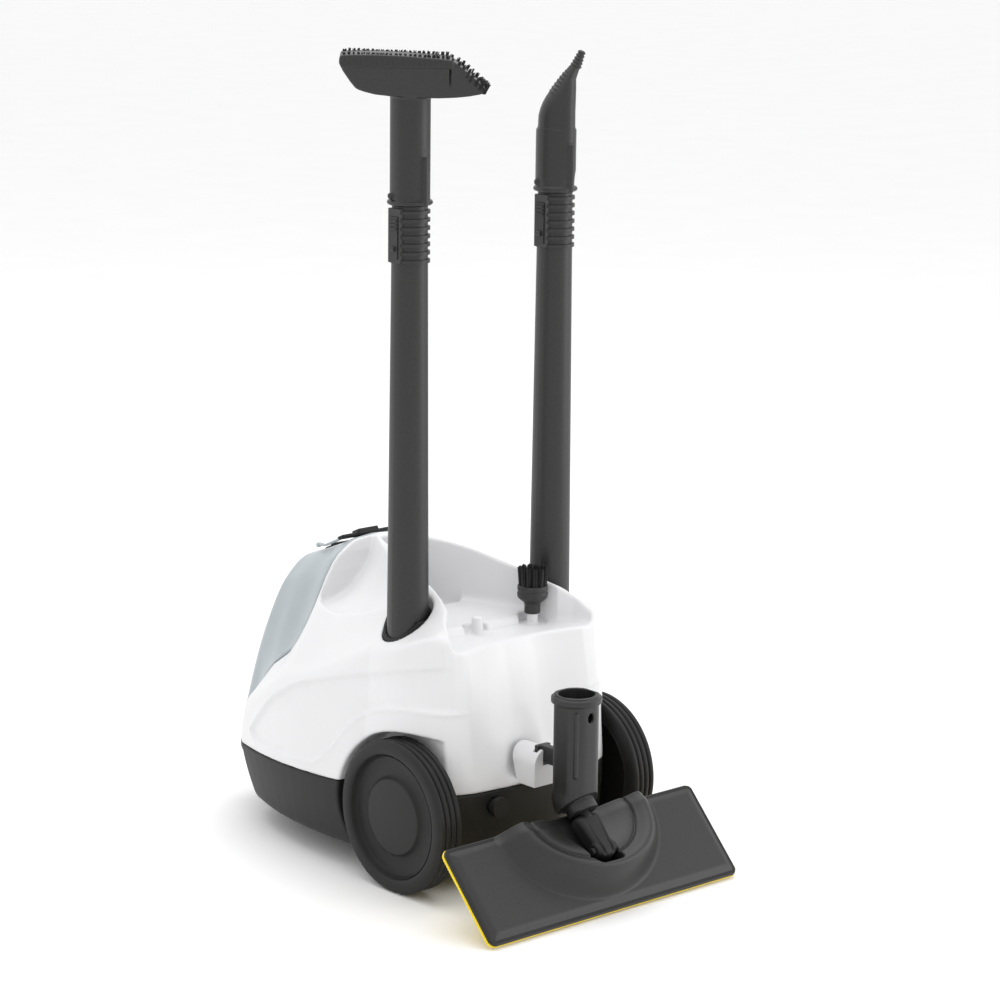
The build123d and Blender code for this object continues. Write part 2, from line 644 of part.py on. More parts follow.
def floor_sole():
    sole = Pos(0, 0, -6.4) * extrude(RectangleRounded(PLATE_LENGTH - 6, PLATE_WIDTH - 5, 6), amount=3.8)
    for i in range(-6, 7):
        sole -= Pos(i * 24, -20, -5) * Cylinder(2, 8)
    return on_plate(sole)


def floor_cloth():
    """The microfibre pad under the sole, with its turned up edge."""
    pad = Pos(0, 0, -9) * extrude(RectangleRounded(PLATE_LENGTH, PLATE_WIDTH, 8), amount=5.4)
    pad -= Pos(0, 0, -6.4) * extrude(RectangleRounded(PLATE_LENGTH - 6, PLATE_WIDTH - 5, 6), amount=5)
    return on_plate(pad)


def yoke_pin():
    return on_plate(Pos(0, PIVOT_V, PIVOT_H) * Rot(0, 90, 0) * Cylinder(4.0, 60))


def floor_yoke():
    """The arm that lies in the plate's channel, from its cross pin up to the neck's elbow."""
    barrel = Pos(0, PIVOT_V, PIVOT_H) * Rot(0, 90, 0) * Cylinder(11, 50)
    arm = Pos(0, PIVOT_V + ELBOW_V / 2, PIVOT_H) * Box(30, ELBOW_V, 18)
    hole = Pos(0, PIVOT_V, PIVOT_H) * Rot(0, 90, 0) * Cylinder(4.0, 70)
    return on_plate(barrel + arm + swivel_pin(SWIVEL_R) - hole)


def swivel_pin(radius, extra=0.0):
    """The round tenon of the arm that the neck turns on."""
    length = 16 + extra
    return Pos(0, PIVOT_V + ELBOW_V - 1 + length / 2, PIVOT_H) * Rot(90, 0, 0) * Cylinder(radius, length)


def floor_neck():
    """The tube socket with its collar, latch window, hook and the elbow at its foot."""
    neck = cyl(NECK_R, NECK_BOTTOM_Z, NECK_TOP_Z, NOZZLE_X, NECK_Y)
    neck += cyl(26, NECK_TOP_Z - 9, NECK_TOP_Z, NOZZLE_X, NECK_Y)
    neck -= cyl(NECK_BORE_R, NECK_BOTTOM_Z + 12, NECK_TOP_Z + 1, NOZZLE_X, NECK_Y)
    neck -= rod(4.5, NECK_Y + 10, NECK_Y + 30, NOZZLE_X, NECK_TOP_Z - 19)
    arm = block(NOZZLE_X - 5, NOZZLE_X + 5, CATCH_Y - 8, NECK_Y - NECK_R + 3, LUG_Z, LUG_Z + 30)
    hook = block(NOZZLE_X - 9.5, NOZZLE_X + 9.5, CATCH_Y - 9.5, CATCH_Y - 4.5, LUG_Z, LUG_Z + 30)
    neck += cyl(NECK_R - 1, 80, NECK_BOTTOM_Z + 1, NOZZLE_X, NECK_Y)
    neck -= on_plate(Pos(0, PIVOT_V + ELBOW_V + 0.4 - 60, PIVOT_H) * Box(120, 120, 200))
    beside_plate = Pos(0, FOOT_V - 60, PIVOT_H) * Box(120, 120, 200)
    turned = Pos(0, FOOT_V - 60, PIVOT_H) * Rot(90, 0, 0) * Cylinder(FOOT_R, 120)
    neck -= on_plate(beside_plate - turned)
    return neck + arm + hook - on_plate(swivel_pin(SWIVEL_R + 0.06, 0.6))


def build():
    os.makedirs("parts", exist_ok=True)
    single = {
        "base_shell": base_shell, "upper_shell": upper_shell, "boiler_lower": boiler_lower,
        "boiler_upper": boiler_upper, "boiler_insulation": boiler_insulation,
        "heater_element": heater_element, "solenoid_valve": solenoid_valve,
        "steam_pipe": steam_pipe, "suction_pipe": suction_pipe, "pressure_pipe": pressure_pipe,
        "water_pump": water_pump, "thermostat": thermostat, "safety_valve": safety_valve,
        "steam_socket": steam_socket, "socket_flap": socket_flap, "control_dial": control_dial,
        "power_button": power_button, "parking_bracket": parking_bracket,
        "control_board": control_board, "water_tank": water_tank, "tank_cap": tank_cap,
        "tank_handle": tank_handle, "tank_valve": tank_valve, "tank_seal": tank_seal,
        "maintenance_plug": maintenance_plug, "cord_gland": cord_gland, "rear_axle": rear_axle,
        "caster_fork": caster_fork, "caster_wheel": caster_wheel, "caster_axle": caster_axle,
        "hand_nozzle": hand_nozzle, "hand_nozzle_bristles": hand_nozzle_bristles,
        "detail_nozzle": detail_nozzle, "detail_nozzle_tip": detail_nozzle_tip,
        "round_brush": round_brush, "round_brush_bristles": round_brush_bristles,
        "floor_cover": floor_cover, "floor_sole": floor_sole, "floor_cloth": floor_cloth,
        "floor_yoke": floor_yoke, "yoke_pin": yoke_pin, "floor_neck": floor_neck,
    }
    groups = {"shell_screws": shell_screws, "indicator_lens": indicator_lens,
              "panel_switches": panel_switches, "axle_clips": axle_clips}
    pairs = {"wheel_hub": wheel_hub, "tyre": tyre, "wheel_cap": wheel_cap,
             "socket_sleeve": socket_sleeve, "extension_tube": extension_tube,
             "lock_button": lock_button, "lock_spring": lock_spring}
    for name, make in single.items():
        save(name, make())
    for name, make in groups.items():
        save(name, *make())
    for name, make in pairs.items():
        for word, side in (("left", 1), ("right", -1)):
            save(f"{name}_{word}", make(side))


build()
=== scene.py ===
"""The looks of the steam cleaner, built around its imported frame."""
import math

import bpy
import bmesh
import numpy as np
import openvdb
from mathutils import Matrix, Vector


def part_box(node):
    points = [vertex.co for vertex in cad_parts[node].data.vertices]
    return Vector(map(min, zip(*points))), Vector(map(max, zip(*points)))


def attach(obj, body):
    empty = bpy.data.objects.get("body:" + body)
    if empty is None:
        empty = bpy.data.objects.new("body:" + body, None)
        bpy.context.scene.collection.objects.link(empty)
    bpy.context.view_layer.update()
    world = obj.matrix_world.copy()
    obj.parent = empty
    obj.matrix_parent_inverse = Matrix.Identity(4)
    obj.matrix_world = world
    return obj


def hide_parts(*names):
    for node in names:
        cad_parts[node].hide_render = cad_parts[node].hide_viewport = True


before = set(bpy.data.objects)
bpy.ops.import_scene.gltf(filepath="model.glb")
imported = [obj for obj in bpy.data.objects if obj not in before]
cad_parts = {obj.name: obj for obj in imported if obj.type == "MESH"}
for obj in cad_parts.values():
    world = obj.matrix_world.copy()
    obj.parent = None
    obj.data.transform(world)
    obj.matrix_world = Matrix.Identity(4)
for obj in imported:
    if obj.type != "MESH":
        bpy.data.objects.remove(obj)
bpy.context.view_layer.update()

# ---------------------------------------------------------------- places
# Sizes below are millimetres from the point on the ground under the middle of the rear axle:
# +X is the machine's left, -Y its front, +Z up.  The frame says where that point is.
MM = 0.001
axle_low, axle_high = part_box("rear_axle")
AXLE = Vector(((axle_low.x + axle_high.x) / 2, (axle_low.y + axle_high.y) / 2, 0.0))


def place(x, y, z):
    """A point given in millimetres from the axle point, in the row's frame."""
    return AXLE + Vector((x, y, z)) * MM


# ---------------------------------------------------------------- camera
CAMERA_AT = (2097.1, 2345.9, 1081.5)
CAMERA_AZIMUTH = 138.27
CAMERA_ELEVATION = 12.392
CAMERA_ROLL = 0.669
CAMERA_LENS = 113.0


def make_camera():
    """The camera at the viewing angle: azimuth 0 looks along +Y."""
    azimuth, elevation, roll = (math.radians(a) for a in (CAMERA_AZIMUTH, CAMERA_ELEVATION, CAMERA_ROLL))
    back = Vector((math.sin(azimuth) * math.cos(elevation),
                   -math.cos(azimuth) * math.cos(elevation), math.sin(elevation)))
    level = (-back).cross(Vector((0, 0, 1))).normalized()
    upright = level.cross(-back)
    right = math.cos(roll) * level + math.sin(roll) * upright
    up = math.cos(roll) * upright - math.sin(roll) * level
    camera = bpy.data.objects.new("camera", bpy.data.cameras.new("camera"))
    bpy.context.scene.collection.objects.link(camera)
    camera.data.lens = CAMERA_LENS
    camera.data.clip_end = 50
    matrix = Matrix((right, up, back)).transposed().to_4x4()
    matrix.translation = place(*CAMERA_AT)
    camera.matrix_world = matrix
    bpy.context.scene.camera = camera


make_camera()


# ---------------------------------------------------------------- small mathematics for the moulded shells
def soft_max(a, b, radius):
    """The larger of two distances, with the edge between them rounded."""
    gap = np.maximum(radius - np.abs(a - b), 0.0) / radius
    return np.maximum(a, b) + gap * gap * radius * 0.25


def soft_min(a, b, radius):
    return -soft_max(-a, -b, radius)


def ease(t):
    """0 below 0, 1 above 1, smooth between."""
    t = np.clip(t, 0.0, 1.0)
    return t * t * (3.0 - 2.0 * t)


def smooth_curve(points):
    """A function through (x, y) points with no overshoot, flat beyond its ends."""
    xs, ys = (np.array(column, float) for column in zip(*points))
    step = np.diff(xs)
    slope = np.diff(ys) / step
    tangent = np.empty(len(xs))
    tangent[0], tangent[-1] = slope[0], slope[-1]
    before, after = slope[:-1], slope[1:]
    total = np.where(before * after > 0, before + after, 1.0)
    tangent[1:-1] = np.where(before * after > 0, 2 * before * after / total, 0.0)

    def value(x):
        x = np.clip(x, xs[0], xs[-1])
        i = np.clip(np.searchsorted(xs, x) - 1, 0, len(xs) - 2)
        h = step[i]
        t = (x - xs[i]) / h
        return (ys[i] * (1 + 2 * t) * (1 - t) ** 2 + tangent[i] * h * t * (1 - t) ** 2
                + ys[i + 1] * t * t * (3 - 2 * t) + tangent[i + 1] * h * t * t * (t - 1))
    return value


def round_off(points, passes=2):
    """A closed outline with its corners cut into smooth bends."""
    points = np.array(points, float)
    for _ in range(passes):
        after = np.roll(points, -1, axis=0)
        points = np.stack([points * 0.75 + after * 0.25, points * 0.25 + after * 0.75], 1).reshape(-1, 2)
    return points


def arc_through(start, middle, end, count=12):
    """Points of the circle through three points."""
    (ax, ay), (bx, by), (cx, cy) = start, middle, end
    d = 2 * (ax * (by - cy) + bx * (cy - ay) + cx * (ay - by))
    a2, b2, c2 = ax * ax + ay * ay, bx * bx + by * by, cx * cx + cy * cy
    ox = (a2 * (by - cy) + b2 * (cy - ay) + c2 * (ay - by)) / d
    oy = (a2 * (cx - bx) + b2 * (ax - cx) + c2 * (bx - ax)) / d
    first, mid, last = (math.atan2(py - oy, px - ox) for px, py in (start, middle, end))
    turn = (last - first) % math.tau
    if (mid - first) % math.tau > turn:
        turn -= math.tau
    radius = math.hypot(ax - ox, ay - oy)
    angles = [first + turn * i / count for i in range(count)]
    return [(ox + radius * math.cos(a), oy + radius * math.sin(a)) for a in angles]


class Chart:
    """Values on a flat grid, read between its points."""

    def __init__(self, low, high, make, step=1.0):
        self.low, self.step = low, step
        a = np.arange(low[0], high[0] + step, step)
        b = np.arange(low[1], high[1] + step, step)
        self.values = make(*np.meshgrid(a, b, indexing="ij")).astype(np.float32)

    def steepness(self):
        """A chart of the factor that turns a height difference into a distance."""
        along_a, along_b = np.gradient(self.values, self.step)
        made = Chart.__new__(Chart)
        made.low, made.step = self.low, self.step
        made.values = (1 / np.sqrt(1 + along_a ** 2 + along_b ** 2)).astype(np.float32)
        return made

    def __call__(self, a, b):
        rows, columns = self.values.shape
        a = np.clip((a - self.low[0]) / self.step, 0, rows - 1.001).astype(np.float32)
        b = np.clip((b - self.low[1]) / self.step, 0, columns - 1.001).astype(np.float32)
        i, j = a.astype(np.int32), b.astype(np.int32)
        a, b = a - i, b - j
        flat = self.values.ravel()
        k = i * columns + j
        near = flat[k] * (1 - b) + flat[k + 1] * b
        far = flat[k + columns] * (1 - b) + flat[k + columns + 1] * b
        return near * (1 - a) + far * a


def outline_distance(points):
    """How far a place is outside a closed outline, negative inside."""
    points = np.array(points, float)

    def distance(a, b):
        nearest = np.full(a.shape, 1e9)
        inside = np.zeros(a.shape, bool)
        for (ax, ay), (bx, by) in zip(points, np.roll(points, -1, axis=0)):
            ex, ey = bx - ax, by - ay
            if ex * ex + ey * ey < 1e-9:
                continue
            t = np.clip(((a - ax) * ex + (b - ay) * ey) / (ex * ex + ey * ey), 0, 1)
            nearest = np.minimum(nearest, (a - ax - t * ex) ** 2 + (b - ay - t * ey) ** 2)
            crosses = (ay > b) != (by > b)
            if ey:
                inside ^= crosses & (a < ax + ex * (b - ay) / ey)
        return np.where(inside, -1, 1) * np.sqrt(nearest)
    return distance


def table_heights(knots, rows):
    """A height for each (distance from the middle, y), smooth between the rows of a small table."""
    ys = [row[0] for row in rows]
    lines = [smooth_curve(list(zip(ys, column))) for column in list(zip(*rows))[1:]]

    def heights(u, y):
        columns = np.stack([line(y[0]) for line in lines])
        out = np.empty(u.shape)
        for j in range(u.shape[1]):
            out[:, j] = smooth_curve(list(zip(knots, columns[:, j])))(u[:, j])
        return out
    return heights


# ---------------------------------------------------------------- the body's form
WALL = 3.0
TANK_WALL = 3.2
SPLIT_Z, SPLIT_SLOPE = 102.0, 0.048
BOTTOM_Z = 25.0
WHEEL_Z = 80.0
AXLE_HOLE_R = 4.3
# Round openings in the base's front and rear: x, z and radius.
FRONT_HOLES = [(0, 58, 20.6), (52, 60, 12.4), (-52, 60, 10.5), (-30, 76, 2.8), (-22, 76, 2.8)]
REAR_HOLES = [(-60, 84, 7.2), (58, 88, 8.3)]
PLAN_NOSE, PLAN_CORNER = (0, -357), (124, -283)
PLAN_SIDE = [(147, -180), (143, -50)]
PLAN_REAR = [(125, 26), (84, 54)]
PLAN_TAIL = (0, 62)
FULL_WIDTH = 148.0

half_width = smooth_curve([(25, 137), (95, 148), (190, 144), (240, 138), (330, 132)])
rear_inset = smooth_curve([(25, 10), (60, 2), (102, 1), (144, 14), (217, 29), (262, 44), (300, 54)])
front_inset = smooth_curve([(25, 20), (60, 6), (92, 0), (117, 4), (200, 27), (286, 72), (320, 100)])

# Heights of the top: each row is a y, then a height at each knot, a distance from the middle line.
TOP_KNOTS = [0, 30, 60, 80, 100, 135, 160]
TOP_ROWS = [
    (-345, 262, 258, 225, 150, 96, 84, 80),
    (-300, 284, 281, 258, 200, 118, 100, 92),
    (-279, 290, 287, 265, 214, 154, 128, 112),
    (-255, 300, 296, 275, 235, 183, 146, 126),
    (-229, 311, 306, 283, 246, 200, 163, 138),
    (-211, 318, 315, 300, 272, 222, 178, 150),
    (-194, 321, 319, 307, 286, 246, 190, 160),
    (-180, 322, 320, 309, 291, 262, 197, 166),
    (-168, 322, 320, 309, 293, 268, 202, 172),
    (-143, 322, 320, 308, 294, 272, 211, 182),
    (-110, 320, 319, 308, 292, 273, 222, 194),
    (-80, 315, 315, 306, 290, 272, 232, 206),
    (-45, 303, 303, 302, 289, 273, 244, 226),
    (-5, 295, 295, 294, 287, 274, 252, 240),
    (16, 284, 284, 283, 280, 271, 258, 250),
    (34, 262, 262, 262, 262, 262, 260, 256),
    (80, 240, 240, 240, 240, 240, 240, 240),
]
# The scoop outside each ridge, seen from above: behind the arch, round to the front of the tube.
SCOOP = [(6, -204), (30, -198), (60, -192), (82, -188), (97, -184), (105, -172), (110, -156),
         (112, -138), (110, -116), (105, -94), (96, -74), (84, -62), (68, -62), (60, -92), (48, -120),
         (34, -150), (14, -182)]
SCOOP_LOW = 257.0
ridge_x = smooth_curve([(-200, 0), (-165, 22), (-130, 34), (-90, 50), (-45, 66), (-10, 74), (40, 80)])
# The hollow between the two ridges, open to the rear.
HOLLOW = [(-40, -188), (14, -180), (24, -158), (35, -120), (49, -80), (60, -45), (69, -15),
          (76, 2), (88, 14), (96, 30), (96, 90), (-40, 90)]
DECK_FRONT_Y = -112.0
DECK_Z = 257.0
DECK_REAR_Z = 249.0
DECK_STEP_Y = -20.0
BOWL_Z = 246.0
NOTCH_R = 15.0
PEG_R, PEG_TALL = 6.0, 10.0
PEGS = [(20.0, -16.0), (-54.0, -13.0)]
TUBE_X, TUBE_Y = 98.0, -35.0
TUBE_HOLE_R = 26.0
# The parked neck's channel: its axis in x and y, its radius and its top and bottom.
CHANNEL_X, CHANNEL_Y, CHANNEL_R = 12.0, 78.0, 36.0
CHANNEL_TOP, CHANNEL_FOOT = 186.0, 112.0
# The filler cap's middle, the slope of the tank's top there, and the recess round the cap.
CAP_Y, CAP_Z = -266.0, 294.64
TOP_SLOPE = math.atan2(25, 55)
CAP_ROOM = 24.0
WELL_R, WELL_X, WELL_Y, WELL_Z = 91.0, 109.0, 2.0, 76.0
# The tank's rear edge, seen from the side, from its foot to above its top.
TANK_REAR = [(-296, 117), (-281, 141), (-253, 181), (-217, 207), (-202, 222), (-194, 238),
             (-191, 257), (-190, 275), (-192, 289), (-196, 306), (-202, 318), (-208, 334)]
# Side panel, seen from the side: upper contour, then the flange over the wheel arch, back to the front.
PANEL = [(-262, 112), (-250, 122), (-235, 137), (-212, 159), (-186, 174), (-160, 188), (-110, 204),
         (-60, 218), (3, 235), (60, 240), (80, 240), (80, 186), (35, 189), (11, 191), (-12, 190),
         (-36, 184), (-57, 174), (-77, 157), (-93, 137), (-110, 119), (-130, 106), (-178, 104),
         (-226, 100), (-254, 102)]


def plan_outline():
    """The footprint, drawn for the left half and mirrored."""
    left = [PLAN_NOSE]
    left += arc_through((-PLAN_CORNER[0], PLAN_CORNER[1]), PLAN_NOSE, PLAN_CORNER)[7:]
    left += arc_through(PLAN_CORNER, *PLAN_SIDE)
    left += arc_through(PLAN_SIDE[1], *PLAN_REAR)
    left += arc_through(PLAN_REAR[1], PLAN_TAIL, (-PLAN_REAR[1][0], PLAN_REAR[1][1]))[:6]
    return left + [PLAN_TAIL] + [(-x, y) for x, y in reversed(left[1:])]


def scoop_floor(u, y):
    """From the ridge's top the scoop falls steeply, then flattens towards the outside."""
    ridge = ridge_x(y)
    t = np.clip((u - ridge) / (112.0 - ridge), 0, 1)
    return SCOOP_LOW + 60.0 * (1 - t) ** 2.6 + 12 * ease((y + 140) / 80)


def hollow_floor(u, y):
    """The bowl behind the crest, the raised deck, and the lower strip at its rear."""
    deck = DECK_Z + 1.5 * ease((u - 20) / 60)
    floor = BOWL_Z + (deck - BOWL_Z) * ease((y - DECK_FRONT_Y) / 7)
    return floor - (DECK_Z - DECK_REAR_Z) * ease((y - DECK_STEP_Y) / 5)


def notch_distance(x, y):
    """The round notches in the raised deck's rear edge, one for each peg."""
    nearest = np.full(x.shape, 1e9)
    for px, py in PEGS:
        nearest = np.minimum(nearest, np.hypot(x - px, y - py) - NOTCH_R)
    return nearest


class Form:
    """The outer form of base, shell and tank as one field of distances."""

    def __init__(self):
        low, high = (-200, -420), (200, 120)
        half = (0, -420)
        side_low, side_high = (-420, 0), (120, 360)
        self.plan = Chart(low, high, outline_distance(plan_outline()))
        self.top = Chart(half, high, table_heights(TOP_KNOTS, TOP_ROWS))
        self.top_slope = self.top.steepness()
        self.scoop = Chart(half, high, outline_distance(round_off(SCOOP)))
        self.scoop_floor = Chart(half, high, scoop_floor)
        self.scoop_slope = self.scoop_floor.steepness()
        self.hollow = Chart(half, high, outline_distance(HOLLOW))
        self.hollow_floor = Chart(half, high, hollow_floor)
        self.hollow_slope = self.hollow_floor.steepness()
        self.notch = Chart(low, high, notch_distance)
        self.panel = Chart(side_low, side_high, outline_distance(round_off(PANEL, 1)))
        zone = TANK_REAR + [(-206, 420), (-500, 420), (-500, 117)]
        self.tank_zone = Chart(side_low, side_high, outline_distance(zone))

    def wall(self, x, y, z):
        """Distance outside the drafted side wall."""
        across = x * FULL_WIDTH / half_width(z)
        straight = 1 - 0.85 * ease((np.abs(x) - 15) / 100)
        rear = rear_inset(z) * ease((y + 170) / 190) * straight
        front = front_inset(z) * ease((-130 - y) / 200)
        along = y + rear - front
        return self.plan(across, along)

    def body(self, x, y, z):
        """The closed outer form, before it is hollowed and split."""
        u = np.abs(x)
        wall = self.wall(x, y, z)
        panel = self.panel(y, z)
        wall = wall + 3.0 * ease(-panel / 6) * ease((u - 95) / 20)
        lip = np.exp(-(panel / 2.6) ** 2) * ease((200 - z) / 12) * ease((u - 70) / 30)
        wall = wall - lip
        top = (z - self.top(u, y)) * self.top_slope(u, y)
        d = soft_max(wall, top, 5.0)
        under = (self.scoop_floor(u, y) - z) * self.scoop_slope(u, y)
        scoop = soft_max(self.scoop(u, y), under, 16.0)
        scoop = soft_max(scoop, 4.0 - self.tank_zone(y, z), 5.0)
        d = soft_max(d, -scoop, 2.5)
        under = (self.hollow_floor(u, y) - z) * self.hollow_slope(u, y)
        hollow = soft_max(self.hollow(u, y), under, 10.0)
        d = soft_max(d, -hollow, 3.5)
        notch = soft_max(self.notch(x, y), DECK_REAR_Z - z, 2.0)
        d = soft_max(d, -notch, 2.0)
        for px, py in PEGS:
            peg = soft_max(np.hypot(x - px, y - py) - PEG_R, z - (DECK_Z + PEG_TALL), 2.0)
            peg = np.maximum(peg, 240 - z)
            d = soft_min(d, peg, 2.0)
        well = soft_max(np.hypot(y - WELL_Y, z - WELL_Z) - WELL_R, WELL_X - u, 4.0)
        return soft_max(d, -well, 2.5)

    def with_channel(self, x, y, z):
        """The body with the channel that the parked neck stands in."""
        channel = np.hypot(x - CHANNEL_X, y - CHANNEL_Y) - CHANNEL_R
        channel = soft_max(channel, np.maximum(z - CHANNEL_TOP, CHANNEL_FOOT - z), 14.0)
        return soft_max(self.body(x, y, z), -channel, 5.0)

    def split(self, y):
        """The height of the seam between shell and base."""
        return SPLIT_Z + SPLIT_SLOPE * y

    def shell(self, x, y, z):
        """The white upper shell, open where the tubes go in."""
        d = self.with_channel(x, y, z)
        d = soft_max(d, 0.6 - self.tank_zone(y, z), 2.0)
        u = np.abs(x)
        hole = np.maximum(np.hypot(u - TUBE_X, y - TUBE_Y) - TUBE_HOLE_R, 196 - z)
        d = soft_max(d, -hole, 2.0)
        d = np.maximum(d, -(d + WALL))
        return soft_max(d, self.split(y) + 0.4 - z, 1.2)

    def tank(self, x, y, z):
        """The water tank's shell, with a recess round its filler cap."""
        d = soft_max(self.body(x, y, z), self.tank_zone(y, z) + 0.5, 2.5)
        v = (y - CAP_Y) * math.cos(TOP_SLOPE) + (z - CAP_Z) * math.sin(TOP_SLOPE)
        h = (z - CAP_Z) * math.cos(TOP_SLOPE) - (y - CAP_Y) * math.sin(TOP_SLOPE)
        recess = soft_max(np.hypot(x, v) - CAP_ROOM, -0.6 - h, 1.5)
        d = soft_max(d, -recess, 1.5)
        return np.maximum(d, -(d + TANK_WALL))

    def base(self, x, y, z):
        """The dark base, with the caster's pocket and the openings at front and rear."""
        d = soft_max(self.body(x, y, z), BOTTOM_Z - z, 12.0)
        pocket = soft_max(np.hypot(x, y + 276.0) - 38.0, z - 62.0, 4.0)
        d = soft_max(d, -pocket, 2.0)
        d = np.maximum(d, -(d + WALL))
        for nx, nz, r in FRONT_HOLES:
            bore = np.maximum(np.hypot(x - nx, z - nz) - r, y + 310)
            d = np.maximum(d, -bore)
        flap_room = np.maximum(np.maximum(np.abs(x) - 9.0, np.abs(z - 80.0) - 8.0), y + 344)
        d = np.maximum(d, -flap_room)
        for nx, nz, r in REAR_HOLES:
            bore = np.maximum(np.hypot(x - nx, z - nz) - r, 25 - y)
            d = np.maximum(d, -bore)
        d = np.maximum(d, AXLE_HOLE_R - np.hypot(y, z - WHEEL_Z))
        return soft_max(d, z - self.split(y) + 0.2, 1.2)


# Settling: the number of passes, the step a slope is measured over, the least slope squared, and
# the furthest that a corner moves in one pass, as a share of a voxel.
PASSES, STEP, LEAST_SLOPE, REACH = 3, 0.4, 0.09, 0.45


def moulded(name, field, low, high, voxel, where=place):
    """Meshes where a field is zero, then settles each corner onto it; where() puts its points in place."""
    axes = [np.arange(a, b + voxel, voxel, dtype=np.float32) for a, b in zip(low, high)]
    block = np.empty([len(a) for a in axes], np.float32)
    ys, zs = np.meshgrid(axes[1], axes[2], indexing="ij")
    for start in range(0, len(axes[0]), 16):
        xs = axes[0][start:start + 16, None, None]
        x, y, z = np.broadcast_arrays(xs, ys[None], zs[None])
        block[start:start + 16] = field(x, y, z)
    limit = 3 * voxel
    grid = openvdb.FloatGrid(limit)
    grid.copyFromArray(np.clip(block, -limit, limit))
    points, _, quads = grid.convertToPolygons(isovalue=0.0, adaptivity=0.0)
    points = points.astype(np.float32) * voxel + np.array(low, np.float32)
    for _ in range(PASSES):
        x, y, z = points.T
        value = field(x, y, z)
        slope = np.stack([field(x + STEP, y, z) - field(x - STEP, y, z),
                          field(x, y + STEP, z) - field(x, y - STEP, z),
                          field(x, y, z + STEP) - field(x, y, z - STEP)], 1) / (2 * STEP)
        size = np.maximum((slope ** 2).sum(1), LEAST_SLOPE)
        move = -(value / size)[:, None] * slope
        length = np.sqrt((move ** 2).sum(1))[:, None]
        points = points + move * np.minimum(1.0, REACH * voxel / np.maximum(length, 1e-6))
    mesh = bpy.data.meshes.new(name)
    mesh.from_pydata([where(*p) for p in points.tolist()], [], quads[:, ::-1].tolist())
    mesh.validate()
    for polygon in mesh.polygons:
        polygon.use_smooth = True
    piece = bpy.data.objects.new(name, mesh)
    bpy.context.scene.collection.objects.link(piece)
    return piece


# ---------------------------------------------------------------- materials
def material(name, colour, roughness, **more):
    """A plain starting material whose shader settings are set on its own sockets."""
    made = bpy.data.materials.new(name)
    made.use_nodes = True
    shader = made.node_tree.nodes["Principled BSDF"]
    shader.inputs["Base Color"].default_value = (*colour, 1)
    shader.inputs["Roughness"].default_value = roughness
    shader.inputs["Specular IOR Level"].default_value = 0.5 if min(colour) > 0.2 else 0.3
    for key, value in more.items():
        shader.inputs[key.replace("_", " ")].default_value = value
    return made


def add_grain(made, scale, depth, mottling, dark, light, rough=None):
    """Moulded grain as bump, with faint mottling of the colour and the gloss."""
    tree = made.node_tree
    shader = tree.nodes["Principled BSDF"]
    coordinates = tree.nodes.new("ShaderNodeTexCoord")
    noise = tree.nodes.new("ShaderNodeTexNoise")
    noise.inputs["Scale"].default_value = scale
    noise.inputs["Detail"].default_value = 3.0
    tree.links.new(coordinates.outputs["Object"], noise.inputs["Vector"])
    bump = tree.nodes.new("ShaderNodeBump")
    bump.inputs["Strength"].default_value = 1.0
    bump.inputs["Distance"].default_value = depth
    tree.links.new(noise.outputs["Fac"], bump.inputs["Height"])
    tree.links.new(bump.outputs["Normal"], shader.inputs["Normal"])
    cloud = tree.nodes.new("ShaderNodeTexNoise")
    cloud.inputs["Scale"].default_value = scale * mottling
    cloud.inputs["Detail"].default_value = 4.0
    tree.links.new(coordinates.outputs["Object"], cloud.inputs["Vector"])
    ramp = tree.nodes.new("ShaderNodeValToRGB")
    first, last = ramp.color_ramp.elements
    first.position, last.position = 0.3, 0.7
    first.color, last.color = (*dark, 1), (*light, 1)
    tree.links.new(cloud.outputs["Fac"], ramp.inputs["Fac"])
    tree.links.new(ramp.outputs["Color"], shader.inputs["Base Color"])
    if rough:
        spread = tree.nodes.new("ShaderNodeMapRange")
        spread.inputs["To Min"].default_value, spread.inputs["To Max"].default_value = rough
        tree.links.new(cloud.outputs["Fac"], spread.inputs["Value"])
        tree.links.new(spread.outputs["Result"], shader.inputs["Roughness"])


